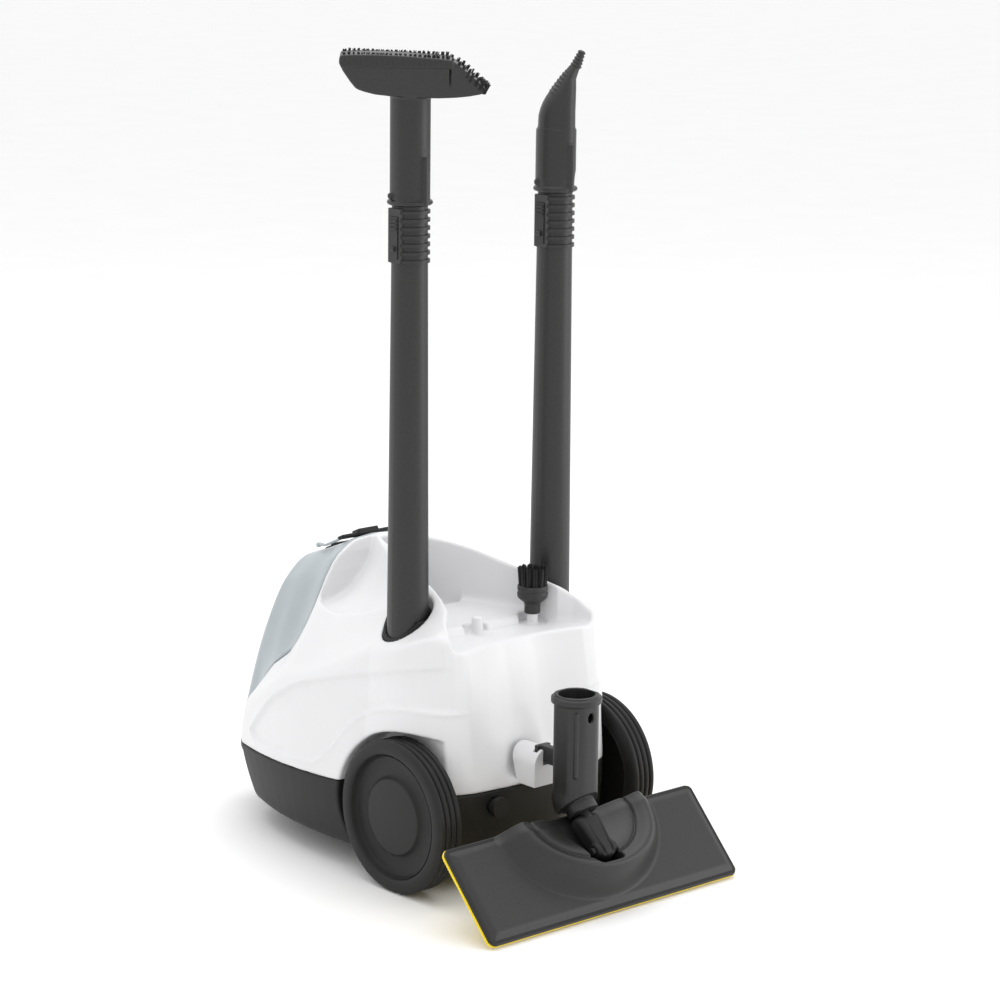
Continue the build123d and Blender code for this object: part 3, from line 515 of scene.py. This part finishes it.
# Slot: material name, colour, roughness, grain (scale, bump depth, mottling), then the mottling's
# darkest and lightest colour.
PLAIN = {
    "shell_white": ("white_plastic", (0.72, 0.72, 0.73), 0.36, (900, 0.00002, 0.01),
                    (0.71, 0.71, 0.72), (0.74, 0.74, 0.75)),
    "tank_grey": ("tank_plastic", (0.36, 0.40, 0.42), 0.3, (700, 0.00002, 0.02),
                  (0.34, 0.38, 0.40), (0.38, 0.42, 0.44)),
    "base_black": ("base_plastic", (0.016, 0.016, 0.0155), 0.5, (1400, 0.00006, 0.02),
                   (0.011, 0.011, 0.0108), (0.016, 0.016, 0.0156)),
    "tube_black": ("tube_plastic", (0.016, 0.016, 0.015), 0.4, (1000, 0.0001, 0.9),
                   (0.008, 0.008, 0.0075), (0.020, 0.020, 0.0195)),
    "button_grey": ("button_plastic", (0.03, 0.03, 0.03), 0.5, (1500, 0.00004, 0.02),
                    (0.025, 0.025, 0.025), (0.036, 0.036, 0.036)),
    "tyre_rubber": ("tyre_rubber", (0.018, 0.018, 0.018), 0.55, (1100, 0.00008, 0.02),
                    (0.009, 0.009, 0.009), (0.015, 0.015, 0.015)),
    "steel": ("steel", (0.55, 0.55, 0.56), 0.3, (400, 0.00002, 0.1),
              (0.5, 0.5, 0.51), (0.62, 0.62, 0.63)),
    "aluminium": ("aluminium", (0.7, 0.71, 0.72), 0.38, (300, 0.00004, 0.1),
                  (0.64, 0.65, 0.66), (0.76, 0.77, 0.78)),
    "insulation": ("insulation", (0.55, 0.50, 0.36), 0.9, (250, 0.0008, 0.3),
                   (0.45, 0.40, 0.28), (0.66, 0.60, 0.45)),
    "brass": ("brass", (0.72, 0.52, 0.22), 0.32, (400, 0.00002, 0.1),
              (0.66, 0.47, 0.2), (0.78, 0.58, 0.26)),
    "rubber": ("seal_rubber", (0.05, 0.05, 0.05), 0.7, (800, 0.00006, 0.05),
               (0.04, 0.04, 0.04), (0.06, 0.06, 0.06)),
    "circuit_board": ("circuit_board", (0.02, 0.13, 0.05), 0.4, (600, 0.00005, 0.2),
                      (0.015, 0.10, 0.04), (0.03, 0.17, 0.07)),
    "bristle": ("bristle_fibre", (0.012, 0.012, 0.012), 0.45, (900, 0.00004, 0.05),
                (0.010, 0.010, 0.010), (0.02, 0.02, 0.02)),
    "lens": ("lens_plastic", (0.75, 0.25, 0.12), 0.15, (500, 0.00002, 0.05),
             (0.7, 0.2, 0.1), (0.8, 0.3, 0.15)),
}
ROUGH_RANGE = {"shell_white": (0.3, 0.42), "tank_grey": (0.24, 0.36), "base_black": (0.44, 0.58),
               "tube_black": (0.34, 0.5), "tyre_rubber": (0.48, 0.62)}
EXTRA = {"tube_black": {"Specular_IOR_Level": 0.5}, "steel": {"Metallic": 1.0},
         "aluminium": {"Metallic": 1.0}, "brass": {"Metallic": 1.0}, "lens": {"Transmission_Weight": 0.4}}


def make_materials():
    """One material for each slot of the record, apart from the cloth."""
    made = {}
    for slot, (name, colour, roughness, grain, dark, light) in PLAIN.items():
        made[slot] = material(name, colour, roughness, **EXTRA.get(slot, {}))
        add_grain(made[slot], *grain, dark, light, ROUGH_RANGE.get(slot))
    return made


def cloth_material():
    """Yellow microfibre: a fine loop pile, with painted shade in the gaps between its loops."""
    made = material("microfibre", (0.85, 0.62, 0.01), 0.85, Sheen_Weight=0.4)
    tree = made.node_tree
    shader = tree.nodes["Principled BSDF"]
    coordinates = tree.nodes.new("ShaderNodeTexCoord")
    loops = tree.nodes.new("ShaderNodeTexVoronoi")
    loops.inputs["Scale"].default_value = 700.0
    tree.links.new(coordinates.outputs["Object"], loops.inputs["Vector"])
    # Lighter yellow at each loop's middle, darker out in the gaps that the bump sinks: painted shade
    # between the loops.
    ramp = tree.nodes.new("ShaderNodeValToRGB")
    ramp.color_ramp.elements[0].color = (1.0, 0.80, 0.02, 1)
    ramp.color_ramp.elements[1].color = (0.78, 0.52, 0.0, 1)
    tree.links.new(loops.outputs["Distance"], ramp.inputs["Fac"])
    tree.links.new(ramp.outputs["Color"], shader.inputs["Base Color"])
    bump = tree.nodes.new("ShaderNodeBump")
    bump.inputs["Distance"].default_value = 0.0006
    bump.invert = True
    tree.links.new(loops.outputs["Distance"], bump.inputs["Height"])
    tree.links.new(bump.outputs["Normal"], shader.inputs["Normal"])
    return made


materials = make_materials()
materials["cloth"] = cloth_material()


def dress_frame():
    """Gives each CAD node's slots the material of the same finish."""
    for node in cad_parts.values():
        for slot in node.material_slots:
            name = slot.material.name.split(".")[0] if slot.material else ""
            if name in materials:
                slot.material = materials[name]
            else:
                print("no material for", node.name, name)


dress_frame()


def finish_piece(piece, slot, body, *replaced):
    """Gives a piece its material, its body and the nodes that it stands for."""
    piece.data.materials.clear()
    piece.data.materials.append(materials[slot])
    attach(piece, body)
    if replaced:
        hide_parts(*replaced)


# ---------------------------------------------------------------- casing
VOXEL = 2.0
form = Form()
shell = moulded("casing_upper", form.shell, (-156, -366, 70), (156, 100, 332), VOXEL)
finish_piece(shell, "shell_white", "body", "upper_shell")
base = moulded("casing_base", form.base, (-156, -366, 18), (156, 76, 112), VOXEL)
finish_piece(base, "base_black", "body", "base_shell")
tank = moulded("tank_shell", form.tank, (-156, -366, 108), (156, -150, 332), VOXEL)
finish_piece(tank, "tank_grey", "tank", "water_tank")


# ---------------------------------------------------------------- tank handle
BAIL_PIN_V, BAIL_PIN_H = 6.0, 3.4
ARM_U, ARM_HALF = 34.0, 2.2


def on_tank(u, v, h):
    """A point on the tank's sloping top: u to the left, v up the slope, h out of it."""
    return place(u, CAP_Y + v * math.cos(TOP_SLOPE) - h * math.sin(TOP_SLOPE),
                 CAP_Z + v * math.sin(TOP_SLOPE) + h * math.cos(TOP_SLOPE))


def bail_bar(u, v, h):
    """The low cross bar, with a thicker pad in its middle."""
    section = soft_max(np.abs(v - 47.0) - 5.4, np.abs(h - 1.2) - 2.0, 1.8)
    d = soft_max(np.abs(u) - 36.0, section, 2.5)
    section = soft_max(np.abs(v - 48.0) - 6.4, np.abs(h - 3.0) - 3.4, 1.5)
    pad = soft_max(np.abs(u) - 14.0, section, 1.5)
    return soft_min(d, pad, 2.0)


def bail_arms(u, v, h):
    """Two slim arms from the pins to the bar, low on the tank's shoulders."""
    dip = 3.2 - 3.2 * ease((v - 6) / 14)
    beside = np.abs(np.abs(u) - ARM_U) - ARM_HALF
    from_pin = np.hypot(v - BAIL_PIN_V, h - BAIL_PIN_H)
    arm = soft_max(beside, np.abs(h - dip) - 1.3, 1.2)
    arm = soft_max(arm, np.abs(v - 24.6) - 20.4, 2.0)
    eye = soft_max(from_pin - 2.6, beside, 1.0)
    pin = np.maximum(from_pin - 1.5, np.abs(np.abs(u) - 32.6) - 4.4)
    return np.minimum(soft_min(arm, eye, 1.5), pin)


bar = moulded("handle_bar", bail_bar, (-44, 36, -2), (44, 56, 10), 0.8, on_tank)
finish_piece(bar, "base_black", "handle", "tank_handle")
arms = moulded("handle_arms", bail_arms, (-42, 0, -4), (42, 48, 8), 0.8, on_tank)
finish_piece(arms, "tank_grey", "handle", "tank_handle")


# ---------------------------------------------------------------- wheels
WHEEL_SIDES = 144
# Across the wheel from its centre out: (distance from the axle, distance from the machine's middle).
WHEEL_FACE = [(0, 146.8), (36, 146.8), (39, 146.2), (40.4, 144.4), (41.6, 142.6), (43.5, 141.6),
              (50, 141.2), (58, 141.2), (61.4, 141.8), (62.8, 143.6), (63.4, 147.4), (64.2, 149.0),
              (64.2, 146.0)]
WHEEL_BACK = [(64.2, 122.0), (61, 121.4), (59, 124), (58, 132), (14, 134), (12, 122), (5, 121)]
TYRE_INNER, TYRE_OUTER = 120.2, 150.3
TYRE_R = 79.8
TYRE_BORE = 64.4
# One rib of the tread: (share of its pitch, how far below the tyre's radius).
RIB = [(0.0, 2.4), (0.08, 1.0), (0.2, 0.25), (0.42, 0.0), (0.66, 0.25), (0.8, 1.0), (0.88, 2.4)]


def lathe(name, profile, put, sides=WHEEL_SIDES, closed=False):
    """Turns a profile of (radius, distance along) round an axis; put(along, across, up) places a point."""
    build = bmesh.new()
    rings = []
    for radius, along in profile:
        if radius < 1e-6:
            rings.append([build.verts.new(put(along, 0.0, 0.0))] * sides)
            continue
        turn = [math.tau * i / sides for i in range(sides)]
        around = [put(along, radius * math.cos(a), radius * math.sin(a)) for a in turn]
        rings.append([build.verts.new(point) for point in around])
    pairs = list(zip(rings, rings[1:]))
    if closed:
        pairs.append((rings[-1], rings[0]))
    for one, two in pairs:
        for i in range(sides):
            j = (i + 1) % sides
            corners = []
            for corner in (one[i], one[j], two[j], two[i]):
                if corner not in corners:
                    corners.append(corner)
            if len(corners) > 2:
                build.faces.new(corners)
    bmesh.ops.recalc_face_normals(build, faces=build.faces)
    mesh = bpy.data.meshes.new(name)
    build.to_mesh(mesh)
    build.free()
    for polygon in mesh.polygons:
        polygon.use_smooth = True
    mesh.set_sharp_from_angle(angle=math.radians(38))
    piece = bpy.data.objects.new(name, mesh)
    bpy.context.scene.collection.objects.link(piece)
    return piece


def tyre_profile():
    """Four rounded ribs between rounded shoulders."""
    points = [(TYRE_BORE, TYRE_INNER + 1), (TYRE_R - 8, TYRE_INNER), (TYRE_R - 3.5, TYRE_INNER + 0.6)]
    pitch = (TYRE_OUTER - TYRE_INNER - 2.0) / 4
    for rib in range(4):
        start = TYRE_INNER + 1.0 + rib * pitch
        for share, drop in RIB:
            points.append((TYRE_R - drop, start + share * pitch))
    points += [(TYRE_R - 3.2, TYRE_OUTER - 0.9), (TYRE_R - 4.5, TYRE_OUTER - 0.2), (TYRE_R - 9, TYRE_OUTER)]
    points += [(TYRE_BORE + 3.5, TYRE_OUTER), (TYRE_BORE + 1.4, TYRE_OUTER - 0.7)]
    points.append((TYRE_BORE, TYRE_OUTER - 2.4))
    return points


def make_wheels():
    """Both rear wheels: a ribbed tread, and one disc for hub and cap."""
    for word, side in (("left", 1), ("right", -1)):
        def put(along, across, up, side=side):
            return place(side * along, across, WHEEL_Z + up)
        tread = lathe(f"tread_{word}", tyre_profile(), put, closed=True)
        finish_piece(tread, "tyre_rubber", f"wheel_{word}", f"tyre_{word}")
        disc = lathe(f"disc_{word}", WHEEL_FACE + WHEEL_BACK, put)
        finish_piece(disc, "base_black", f"wheel_{word}", f"wheel_hub_{word}", f"wheel_cap_{word}")


make_wheels()


# ---------------------------------------------------------------- heads on the tubes
# The heads are turned to this bearing: l runs along the head, d across it.
HEAD_L = (-0.77, 0.638)
HEAD_D = (-0.638, -0.77)
HEAD_VOXEL = 1.0
COLLAR_Z = 697.6
# Side outlines of the two heads: (l, z).
HAND_SIDE = [(-70, 837), (-70, 845), (-67, 848), (-20, 848), (36, 844), (40, 843), (46, 839),
             (73, 816), (74, 813), (73, 810), (52, 806), (20, 804.5), (-30, 807), (-50, 812), (-56, 816)]
DETAIL_SIDE = [(-19.4, 690), (-19.2, 772), (-16, 786), (-9.7, 798), (6.6, 822), (17, 835),
               (24, 837.6), (29, 833), (24, 822), (19.4, 810), (19.6, 690)]
# The detail nozzle's outlet: where its axis starts, and how it leans.
TIP_L, TIP_Z = 19.5, 827.0
TIP_LEAN = math.atan2(7, 17)


def head_frame(tube_x):
    """Places a head's own (l, d, z) point."""
    def where(l, d, z):
        x = tube_x + l * HEAD_L[0] + d * HEAD_D[0]
        y = TUBE_Y + l * HEAD_L[1] + d * HEAD_D[1]
        return place(x, y, z)
    return where


def neck_field(l, d, z, radius):
    """A round neck with its collar, plug, and the raised rib and notch on its rear."""
    r = np.hypot(l, d)
    neck = r - radius
    rib = soft_max(np.hypot(l - 14.5, d + 15.0) - 3.6, np.abs(z - 722.0) - 24.0, 1.5)
    neck = soft_min(neck, rib, 1.5)
    collar = np.hypot(np.maximum(r - 20.6, 0), z - (COLLAR_Z + 3.2)) - 2.4
    neck = soft_min(np.maximum(neck, COLLAR_Z + 0.6 - z), collar, 1.0)
    notch = np.maximum(np.hypot(np.hypot(l - 17.5, d + 15.0), z - 752.0) - 3.4, -1.0)
    lug = np.hypot(np.hypot(l + 19.0, d + 9.0), z - (COLLAR_Z + 10.0)) - 3.4
    neck = soft_min(neck, lug, 1.5)
    neck = soft_max(neck, -notch, 0.8)
    plug = np.maximum(r - 14.4, np.abs(z - 684.0) - 14.4)
    neck = np.minimum(neck, plug)
    return np.maximum(neck, 11.0 - r)


class Heads:
    """The hand nozzle and the detail nozzle, each as a field in its own (l, d, z)."""

    def __init__(self):
        self.hand = Chart((-110, 680), (110, 870), outline_distance(round_off(HAND_SIDE, 1)), 0.5)
        self.detail = Chart((-60, 680), (60, 870), outline_distance(round_off(DETAIL_SIDE, 1)), 0.5)

    def hand_field(self, l, d, z):
        """A flaring head with a fluted band under its rim, hollow on top for the bristles."""
        side = self.hand(l, z)
        depth = 20.0 + 10.0 * np.clip((z - 800) / 36, 0, 1)
        band = ease((z - 834.5) / 1.0) * ease((42 - l) / 2)
        flutes = 0.9 * band * (0.5 + 0.5 * np.cos(l * math.tau / 5.2))
        head = soft_max(side, np.abs(d) - depth - flutes - 0.9 * band, 2.5)
        step = np.maximum(np.abs(l - 38.5) - 0.8, np.maximum(806 - z, z - 834))
        head = soft_max(head, -np.maximum(step, 24.0 - np.abs(d)), 0.6)
        hollow = np.maximum(self.hand(l, z + 7.0) + 7.0, np.maximum(np.abs(d) - 20.0, 832 - z))
        head = soft_max(head, -hollow, 1.0)
        return soft_min(head, np.maximum(neck_field(l, d, z, 20.2), z - 812), 3.0)

    def detail_field(self, l, d, z):
        """A tapering nozzle with short ribs down its front slope."""
        depth = 19.4 - 13.6 * ease((z - 762) / 82)
        body = soft_max(self.detail(l, z), np.abs(d) - depth, 16.0)
        along = (l + 9.7) * 0.56 + (z - 798) * 0.83
        wave = 0.5 + 0.5 * np.cos(along * math.tau / 4.4)
        ribs = 0.7 * ease((along - 2) / 3) * ease((32 - along) / 3) * wave
        facing = ease((-(l + 9.7) * 0.83 + (z - 798) * 0.56 + 6) / 4)
        body = body - ribs * facing
        upper = np.maximum(body, COLLAR_Z + 2 - z)
        return soft_min(np.maximum(neck_field(l, d, z, 19.4), z - 760), upper, 6.0)


heads = Heads()
hand = moulded("hand_head", heads.hand_field, (-78, -40, 666), (78, 40, 850), HEAD_VOXEL,
               head_frame(TUBE_X))
finish_piece(hand, "tube_black", "hand_head", "hand_nozzle")
detail = moulded("detail_head", heads.detail_field, (-24, -24, 666), (34, 24, 842), HEAD_VOXEL,
                 head_frame(-TUBE_X))
finish_piece(detail, "tube_black", "detail_head", "detail_nozzle")


def tip_field(l, d, z):
    """The detail nozzle's small ribbed outlet, leaning with the head."""
    along = (l - TIP_L) * math.sin(TIP_LEAN) + (z - TIP_Z) * math.cos(TIP_LEAN)
    across = (l - TIP_L) * math.cos(TIP_LEAN) - (z - TIP_Z) * math.sin(TIP_LEAN)
    radius = 5.6 - 0.13 * along + 0.5 * np.cos(along * math.tau / 3.6)
    tip = soft_max((np.hypot(across, d) - radius) * 0.8, np.abs(along - 7.0) - 9.5, 1.5)
    return soft_max(tip, 1.6 - np.hypot(across, d) - 1e3 * (along < 9), 0.4)


tip = moulded("detail_tip", tip_field, (8, -10, 820), (34, 10, 846), 0.6, head_frame(-TUBE_X))
finish_piece(tip, "tube_black", "detail_head", "detail_nozzle_tip")


# ---------------------------------------------------------------- bristles
def tufts(name, roots, tip_length, thickness, spread, where, seed, strands=5):
    """Bundles of tapered strands; each root is (point, direction) in the owner's own frame."""
    random = np.random.default_rng(seed)
    build = bmesh.new()
    for (x, y, z), (dx, dy, dz) in roots:
        for _ in range(strands):
            angle, reach = random.uniform(0, math.tau), thickness * math.sqrt(random.uniform(0, 1))
            bx, by = x + reach * math.cos(angle), y + reach * math.sin(angle)
            lean = random.uniform(-spread, spread, 2)
            length = tip_length * random.uniform(0.9, 1.0)
            rings = []
            for share, width in ((0.0, 0.62), (0.6, 0.56), (1.0, 0.34)):
                cx = bx + (dx + lean[0] * share) * length * share
                cy = by + (dy + lean[1] * share) * length * share
                cz = z + dz * length * share
                corners = [(cx + width * math.cos(a), cy + width * math.sin(a), cz)
                           for a in (math.tau * k / 5 for k in range(5))]
                rings.append([build.verts.new(where(*c)) for c in corners])
            for one, two in zip(rings, rings[1:]):
                for k in range(5):
                    build.faces.new((one[k], one[(k + 1) % 5], two[(k + 1) % 5], two[k]))
            build.faces.new(rings[-1])
            build.faces.new(rings[0][::-1])
    mesh = bpy.data.meshes.new(name)
    build.to_mesh(mesh)
    build.free()
    piece = bpy.data.objects.new(name, mesh)
    bpy.context.scene.collection.objects.link(piece)
    return piece


def hand_top(l):
    """The height of the hand head's upper rim along its length."""
    return np.interp(l, [-73, -62, 36, 47, 73], [843, 845, 842, 835, 813])


def hand_roots():
    """Where the hand head's tufts stand: two rows along each side, and rows across its ends."""
    roots = []
    for l in np.arange(-66, 72, 4.6):
        lean = 0.12 if l < 40 else 0.45
        for d in (-26.5, -22.0, 22.0, 26.5):
            roots.append(((l, d, hand_top(l) - 4), (lean, 0.06 * d / 26, 0.95)))
    for d in np.arange(-18, 19, 4.6):
        roots.append(((-65, d, 838), (-0.1, 0, 0.95)))
        for l in (66, 70):
            roots.append(((l, d, hand_top(l) - 3), (0.75, 0, 0.6)))
    return roots


def brush_roots():
    """Two rings of tufts on the round brush, leaning slightly outwards."""
    roots = []
    for radius, count in ((12.4, 12), (7.0, 7)):
        for i in range(count):
            c, s = math.cos(math.tau * i / count), math.sin(math.tau * i / count)
            roots.append(((radius * c, radius * s, 288.0), (0.06 * c, 0.06 * s, 1.0)))
    return roots


def on_peg(x, y, z):
    """A point given from the axis of the peg that holds the brush."""
    return place(PEGS[1][0] + x, PEGS[1][1] + y, z)


def brush_body(x, y, z):
    """A stout stem that sleeves the peg, flaring into the collar that grips the bristles."""
    r = np.hypot(x, y)
    stem = soft_max(r - 8.4, np.abs(z - 267.5) - 8.0, 1.2)
    flare = soft_max(r - (8.4 + 7.6 * ease((z - 269) / 9)), np.abs(z - 276.5) - 8.0, 1.0)
    collar = soft_max(r - 16.0, np.abs(z - 284.4) - 5.4, 1.2)
    d = soft_min(soft_min(stem, flare, 1.0), collar, 1.0)
    groove = soft_max(np.hypot(r - 16.8, z - 283.2) - 1.5, -0.999, 1.0)
    d = soft_max(d, -groove, 0.6)
    bore = np.maximum(r - 6.5, z - (DECK_Z + 12.2))
    return np.maximum(d, -bore)


stem = moulded("brush_body", brush_body, (-18, -18, 257), (18, 18, 292), 0.8, on_peg)
finish_piece(stem, "tube_black", "peg_brush", "round_brush")
fibres = tufts("hand_bristles", hand_roots(), 10.0, 1.5, 0.10, head_frame(TUBE_X), 11)
finish_piece(fibres, "bristle", "hand_head", "hand_nozzle_bristles")
fibres = tufts("brush_bristles", brush_roots(), 21.5, 2.5, 0.03, on_peg, 12, strands=26)
finish_piece(fibres, "bristle", "peg_brush", "round_brush_bristles")


# ---------------------------------------------------------------- parked floor nozzle
NOZZLE_X, NECK_Y = 12.0, 127.5
PLATE_CENTRE = (12.0, 160.7, 46.6)
PLATE_TILT = math.radians(46.4)
PLATE_HALF_U, PLATE_HALF_V = 171.0, 54.4
RIM_V, RIM_A, RIM_B = 49.0, 80.0, 68.0
PIVOT_V, PIVOT_H = 4.0, 17.0
NECK_BORE, NECK_BORE_FOOT = 19.0, 113.0
LUG_Z, LUG_HALF = 141.0, 9.0


def on_plate(u, v, h):
    """u runs along the plate to the machine's right, v up its slope, h out of its cover."""
    c, s = math.cos(PLATE_TILT), math.sin(PLATE_TILT)
    return place(PLATE_CENTRE[0] - u, PLATE_CENTRE[1] - c * v + s * h, PLATE_CENTRE[2] + s * v + c * h)


def plate_edge(u, v, half_u=PLATE_HALF_U, half_v=PLATE_HALF_V, corner=8.0):
    """Distance outside a rounded rectangle."""
    a, b = np.abs(u) - (half_u - corner), np.abs(v) - (half_v - corner)
    return np.hypot(np.maximum(a, 0), np.maximum(b, 0)) + np.minimum(np.maximum(a, b), 0) - corner


def cover_height(u, v):
    """The cover's upper face: a bevelled border, and the mound with its crescent rim and hollow."""
    edge = plate_edge(u, v)
    flat = -3.4 * ease((edge + 13.0) / 12.0)
    e = np.hypot(u / RIM_A, (v - RIM_V) / RIM_B)
    rim = 21.0 + 9.5 * ease((RIM_V - v) / RIM_B)
    mound = rim * (1 - ease((e - 0.985) / 0.36))
    crescent = rim - 6.5 * ease((0.985 - e) / 0.2)
    groove = 2.2 * np.exp(-((e - 0.80) / 0.018) ** 2)
    inner = crescent - 12.0 * ease((0.78 - e) / 0.55) - groove
    return flat + np.where(e > 0.985, mound, inner)


class FloorHead:
    """The pieces on the floor plate, as fields in (u, v, h)."""

    def __init__(self):
        self.height = Chart((-180, -64), (180, 64), cover_height, 0.5)
        self.slope = self.height.steepness()

    def cover(self, u, v, h):
        """The cover, with the slot that the tongue lies in."""
        d = (h - self.height(u, v)) * self.slope(u, v)
        d = soft_max(d, plate_edge(u, v), 2.0)
        d = soft_max(d, -5.9 - h, 0.8)
        slot = soft_max(np.abs(u + 4.0) - (17.0 + 0.12 * (v + 12)), 1.2 - h, 3.0)
        slot = soft_max(slot, -14.0 - v, 6.0)
        return soft_max(d, -slot, 1.6)

    def arm(self, u, v, h):
        """The tongue from the cross pin up to the neck, with a groove along each side."""
        width = 9.5 + 0.12 * (v + 8)
        top = h - (24.0 - 0.05 * (v - 10))
        d = soft_max(np.abs(u) - width, top, 6.0)
        d = soft_max(d, 5.5 - h, 4.0)
        d = soft_max(d, np.maximum(-7.0 - v, v - 44.6), 8.0)
        hub = soft_max(np.hypot(v - PIVOT_V, h - PIVOT_H) - 6.6, np.abs(u - 1.0) - 13.4, 1.5)
        d = soft_min(d, hub, 3.0)
        rib = np.hypot(np.abs(u) - width * 0.55, h - 24.0) - 1.6
        d = soft_max(d, -np.maximum(rib, v - 40), 0.8)
        tenon = np.maximum(np.hypot(u, h - PIVOT_H) - 5.9, np.maximum(v - 60.0, 40 - v))
        return soft_min(d, tenon, 1.0)

    def pin(self, u, v, h):
        """The short cross pin in the tongue's end, with rounded ends."""
        return soft_max(np.hypot(v - PIVOT_V, h - PIVOT_H) - 4.0, np.abs(u) - 16.5, 1.5)

    def cloth(self, u, v, h):
        """The pad's rounded slab with a rim that wraps the sole's edge; the pile is in its outline."""
        pile = 0.22 * np.cos(u * math.tau / 3.1) * np.cos(v * math.tau / 3.1)
        d = soft_max(plate_edge(u, v, 172.2, 54.9, 9.0), np.abs(h + 7.1) - 1.7, 2.4) - pile
        room = np.maximum(plate_edge(u, v, 170.2, 53.2, 7.0), -6.35 - h)
        return np.maximum(d, -room)


def neck_shape(x, y, z):
    """The upright tube socket, in millimetres about its own axis."""
    r = np.hypot(x, y)
    d = r - 22.8
    flats = np.maximum(np.abs(x) - 20.6, np.abs(y) - 21.8)
    d = soft_max(d, flats, 1.5)
    d = soft_max(d, 100.5 - z, 3.0)
    flange = soft_max(r - 25.9, np.abs(z - 208.8) - 3.2, 1.6)
    d = soft_min(d, flange, 2.0)
    rib = soft_max(np.hypot(x - 15.5, y - 17.0) - 2.2, np.abs(z - 166.0) - 34.0, 1.5)
    d = soft_min(d, rib, 1.0)
    # the foot turns towards the plate's swivel
    c, s = math.cos(PLATE_TILT), math.sin(PLATE_TILT)
    dy, dz = y + NECK_Y - PLATE_CENTRE[1], z - PLATE_CENTRE[2]
    v = -c * dy + s * dz
    h = s * dy + c * dz
    from_swivel = np.hypot(x, h - PIVOT_H)
    foot = soft_max(from_swivel - 16.2, np.maximum(46.0 - v, v - 74.0), 3.0)
    ball = np.sqrt(x * x + y * y + (z - 100.0) ** 2) - 22.2
    ball = np.maximum(ball, 57.5 - v)
    d = soft_min(d, soft_min(foot, ball, 6.0), 5.0)
    d = np.maximum(d, np.minimum(57.0 - v, from_swivel - 16.2))
    d = np.maximum(d, -np.maximum(from_swivel - 6.2, v - 61.0))
    d = soft_max(d, -np.maximum(r - NECK_BORE, NECK_BORE_FOOT - z), 1.0)
    window = np.maximum(np.hypot(x * 1.15, (z - 193.0) * 0.85) - 4.4, 8 - y)
    return soft_max(d, -window, 1.0)


def lug_shape(x, y, z):
    """The T-shaped hook that hangs in the catch on the rear wall."""
    tall = np.abs(z - LUG_Z) - LUG_HALF
    arm = soft_max(np.abs(x) - 4.9, np.maximum(tall, np.abs(y + 36.0) - 15.0), 1.5)
    plate = soft_max(np.abs(x) - 9.4, np.maximum(tall, np.abs(y + 49.5) - 2.4), 1.5)
    return soft_min(arm, plate, 1.0)


def neck_with_lug(x, y, z):
    """Neck and hook together, with the bore kept clear."""
    bore = np.maximum(np.hypot(x, y) - NECK_BORE, NECK_BORE_FOOT - z)
    return np.maximum(soft_min(neck_shape(x, y, z), lug_shape(x, y, z), 2.0), -bore)


def by_neck(x, y, z):
    """A point given from the neck's axis."""
    return place(NOZZLE_X + x, NECK_Y + y, z)


floor_head = FloorHead()
cover = moulded("nozzle_cover", floor_head.cover, (-174, -58, -8), (174, 58, 34), 1.0, on_plate)
finish_piece(cover, "tube_black", "floor_plate", "floor_cover")
arm = moulded("nozzle_arm", floor_head.arm, (-20, -12, 2), (20, 64, 28), 0.8, on_plate)
finish_piece(arm, "base_black", "floor_arm", "floor_yoke")
pin = moulded("nozzle_pin", floor_head.pin, (-20, -2, 11), (20, 10, 23), 0.6, on_plate)
finish_piece(pin, "base_black", "floor_arm", "yoke_pin")
pad = moulded("nozzle_cloth", floor_head.cloth, (-174, -58, -11), (174, 58, -3), 0.8, on_plate)
finish_piece(pad, "cloth", "floor_plate", "floor_cloth")
neck = moulded("nozzle_neck", neck_with_lug, (-28, -55, 70), (28, 30, 214), 1.0, by_neck)
finish_piece(neck, "tube_black", "floor_socket", "floor_neck")


# ---------------------------------------------------------------- light and floor
FLOOR_REACH = 30.0
# Name, place, target, size in metres and power of each light.
LIGHTS = [("top_light", (-200, -500, 2600), (0, -50, 150), (3.0, 3.0), 36),
          ("side_light", (2300, -2000, 900), (0, -100, 300), (1.2, 2.2), 4),
          ("rear_light", (-2300, 2100, 900), (0, 0, 300), (1.2, 2.2), 22)]


def area_light(name, spot, target, size, power):
    """A soft rectangular light aimed at a point."""
    light = bpy.data.objects.new(name, bpy.data.lights.new(name, "AREA"))
    bpy.context.scene.collection.objects.link(light)
    light.data.shape = "RECTANGLE"
    light.data.size, light.data.size_y = size
    light.data.energy = power
    light.location = place(*spot)
    aim = place(*target) - light.location
    light.rotation_euler = aim.to_track_quat("-Z", "Y").to_euler()


def make_stage():
    """White surroundings, three soft lights and a pale floor."""
    world = bpy.data.worlds.new("studio")
    bpy.context.scene.world = world
    world.use_nodes = True
    bpy.context.scene.view_settings.view_transform = "Standard"
    sky = world.node_tree.nodes["Background"]
    sky.inputs["Color"].default_value = (1, 1, 1, 1)
    sky.inputs["Strength"].default_value = 1.0
    for light in LIGHTS:
        area_light(*light)
    mesh = bpy.data.meshes.new("floor")
    floor = bpy.data.objects.new("floor", mesh)
    bpy.context.scene.collection.objects.link(floor)
    turns = ((-1, -1), (1, -1), (1, 1), (-1, 1))
    corners = [(FLOOR_REACH * x, FLOOR_REACH * y, 0) for x, y in turns]
    mesh.from_pydata(corners, [], [(0, 1, 2, 3)])
    pale = material("pale_floor", (0.95, 0.95, 0.95), 0.8)
    add_grain(pale, 60, 0.00001, 0.1, (0.94, 0.94, 0.94), (0.96, 0.96, 0.96))
    mesh.materials.append(pale)


make_stage()
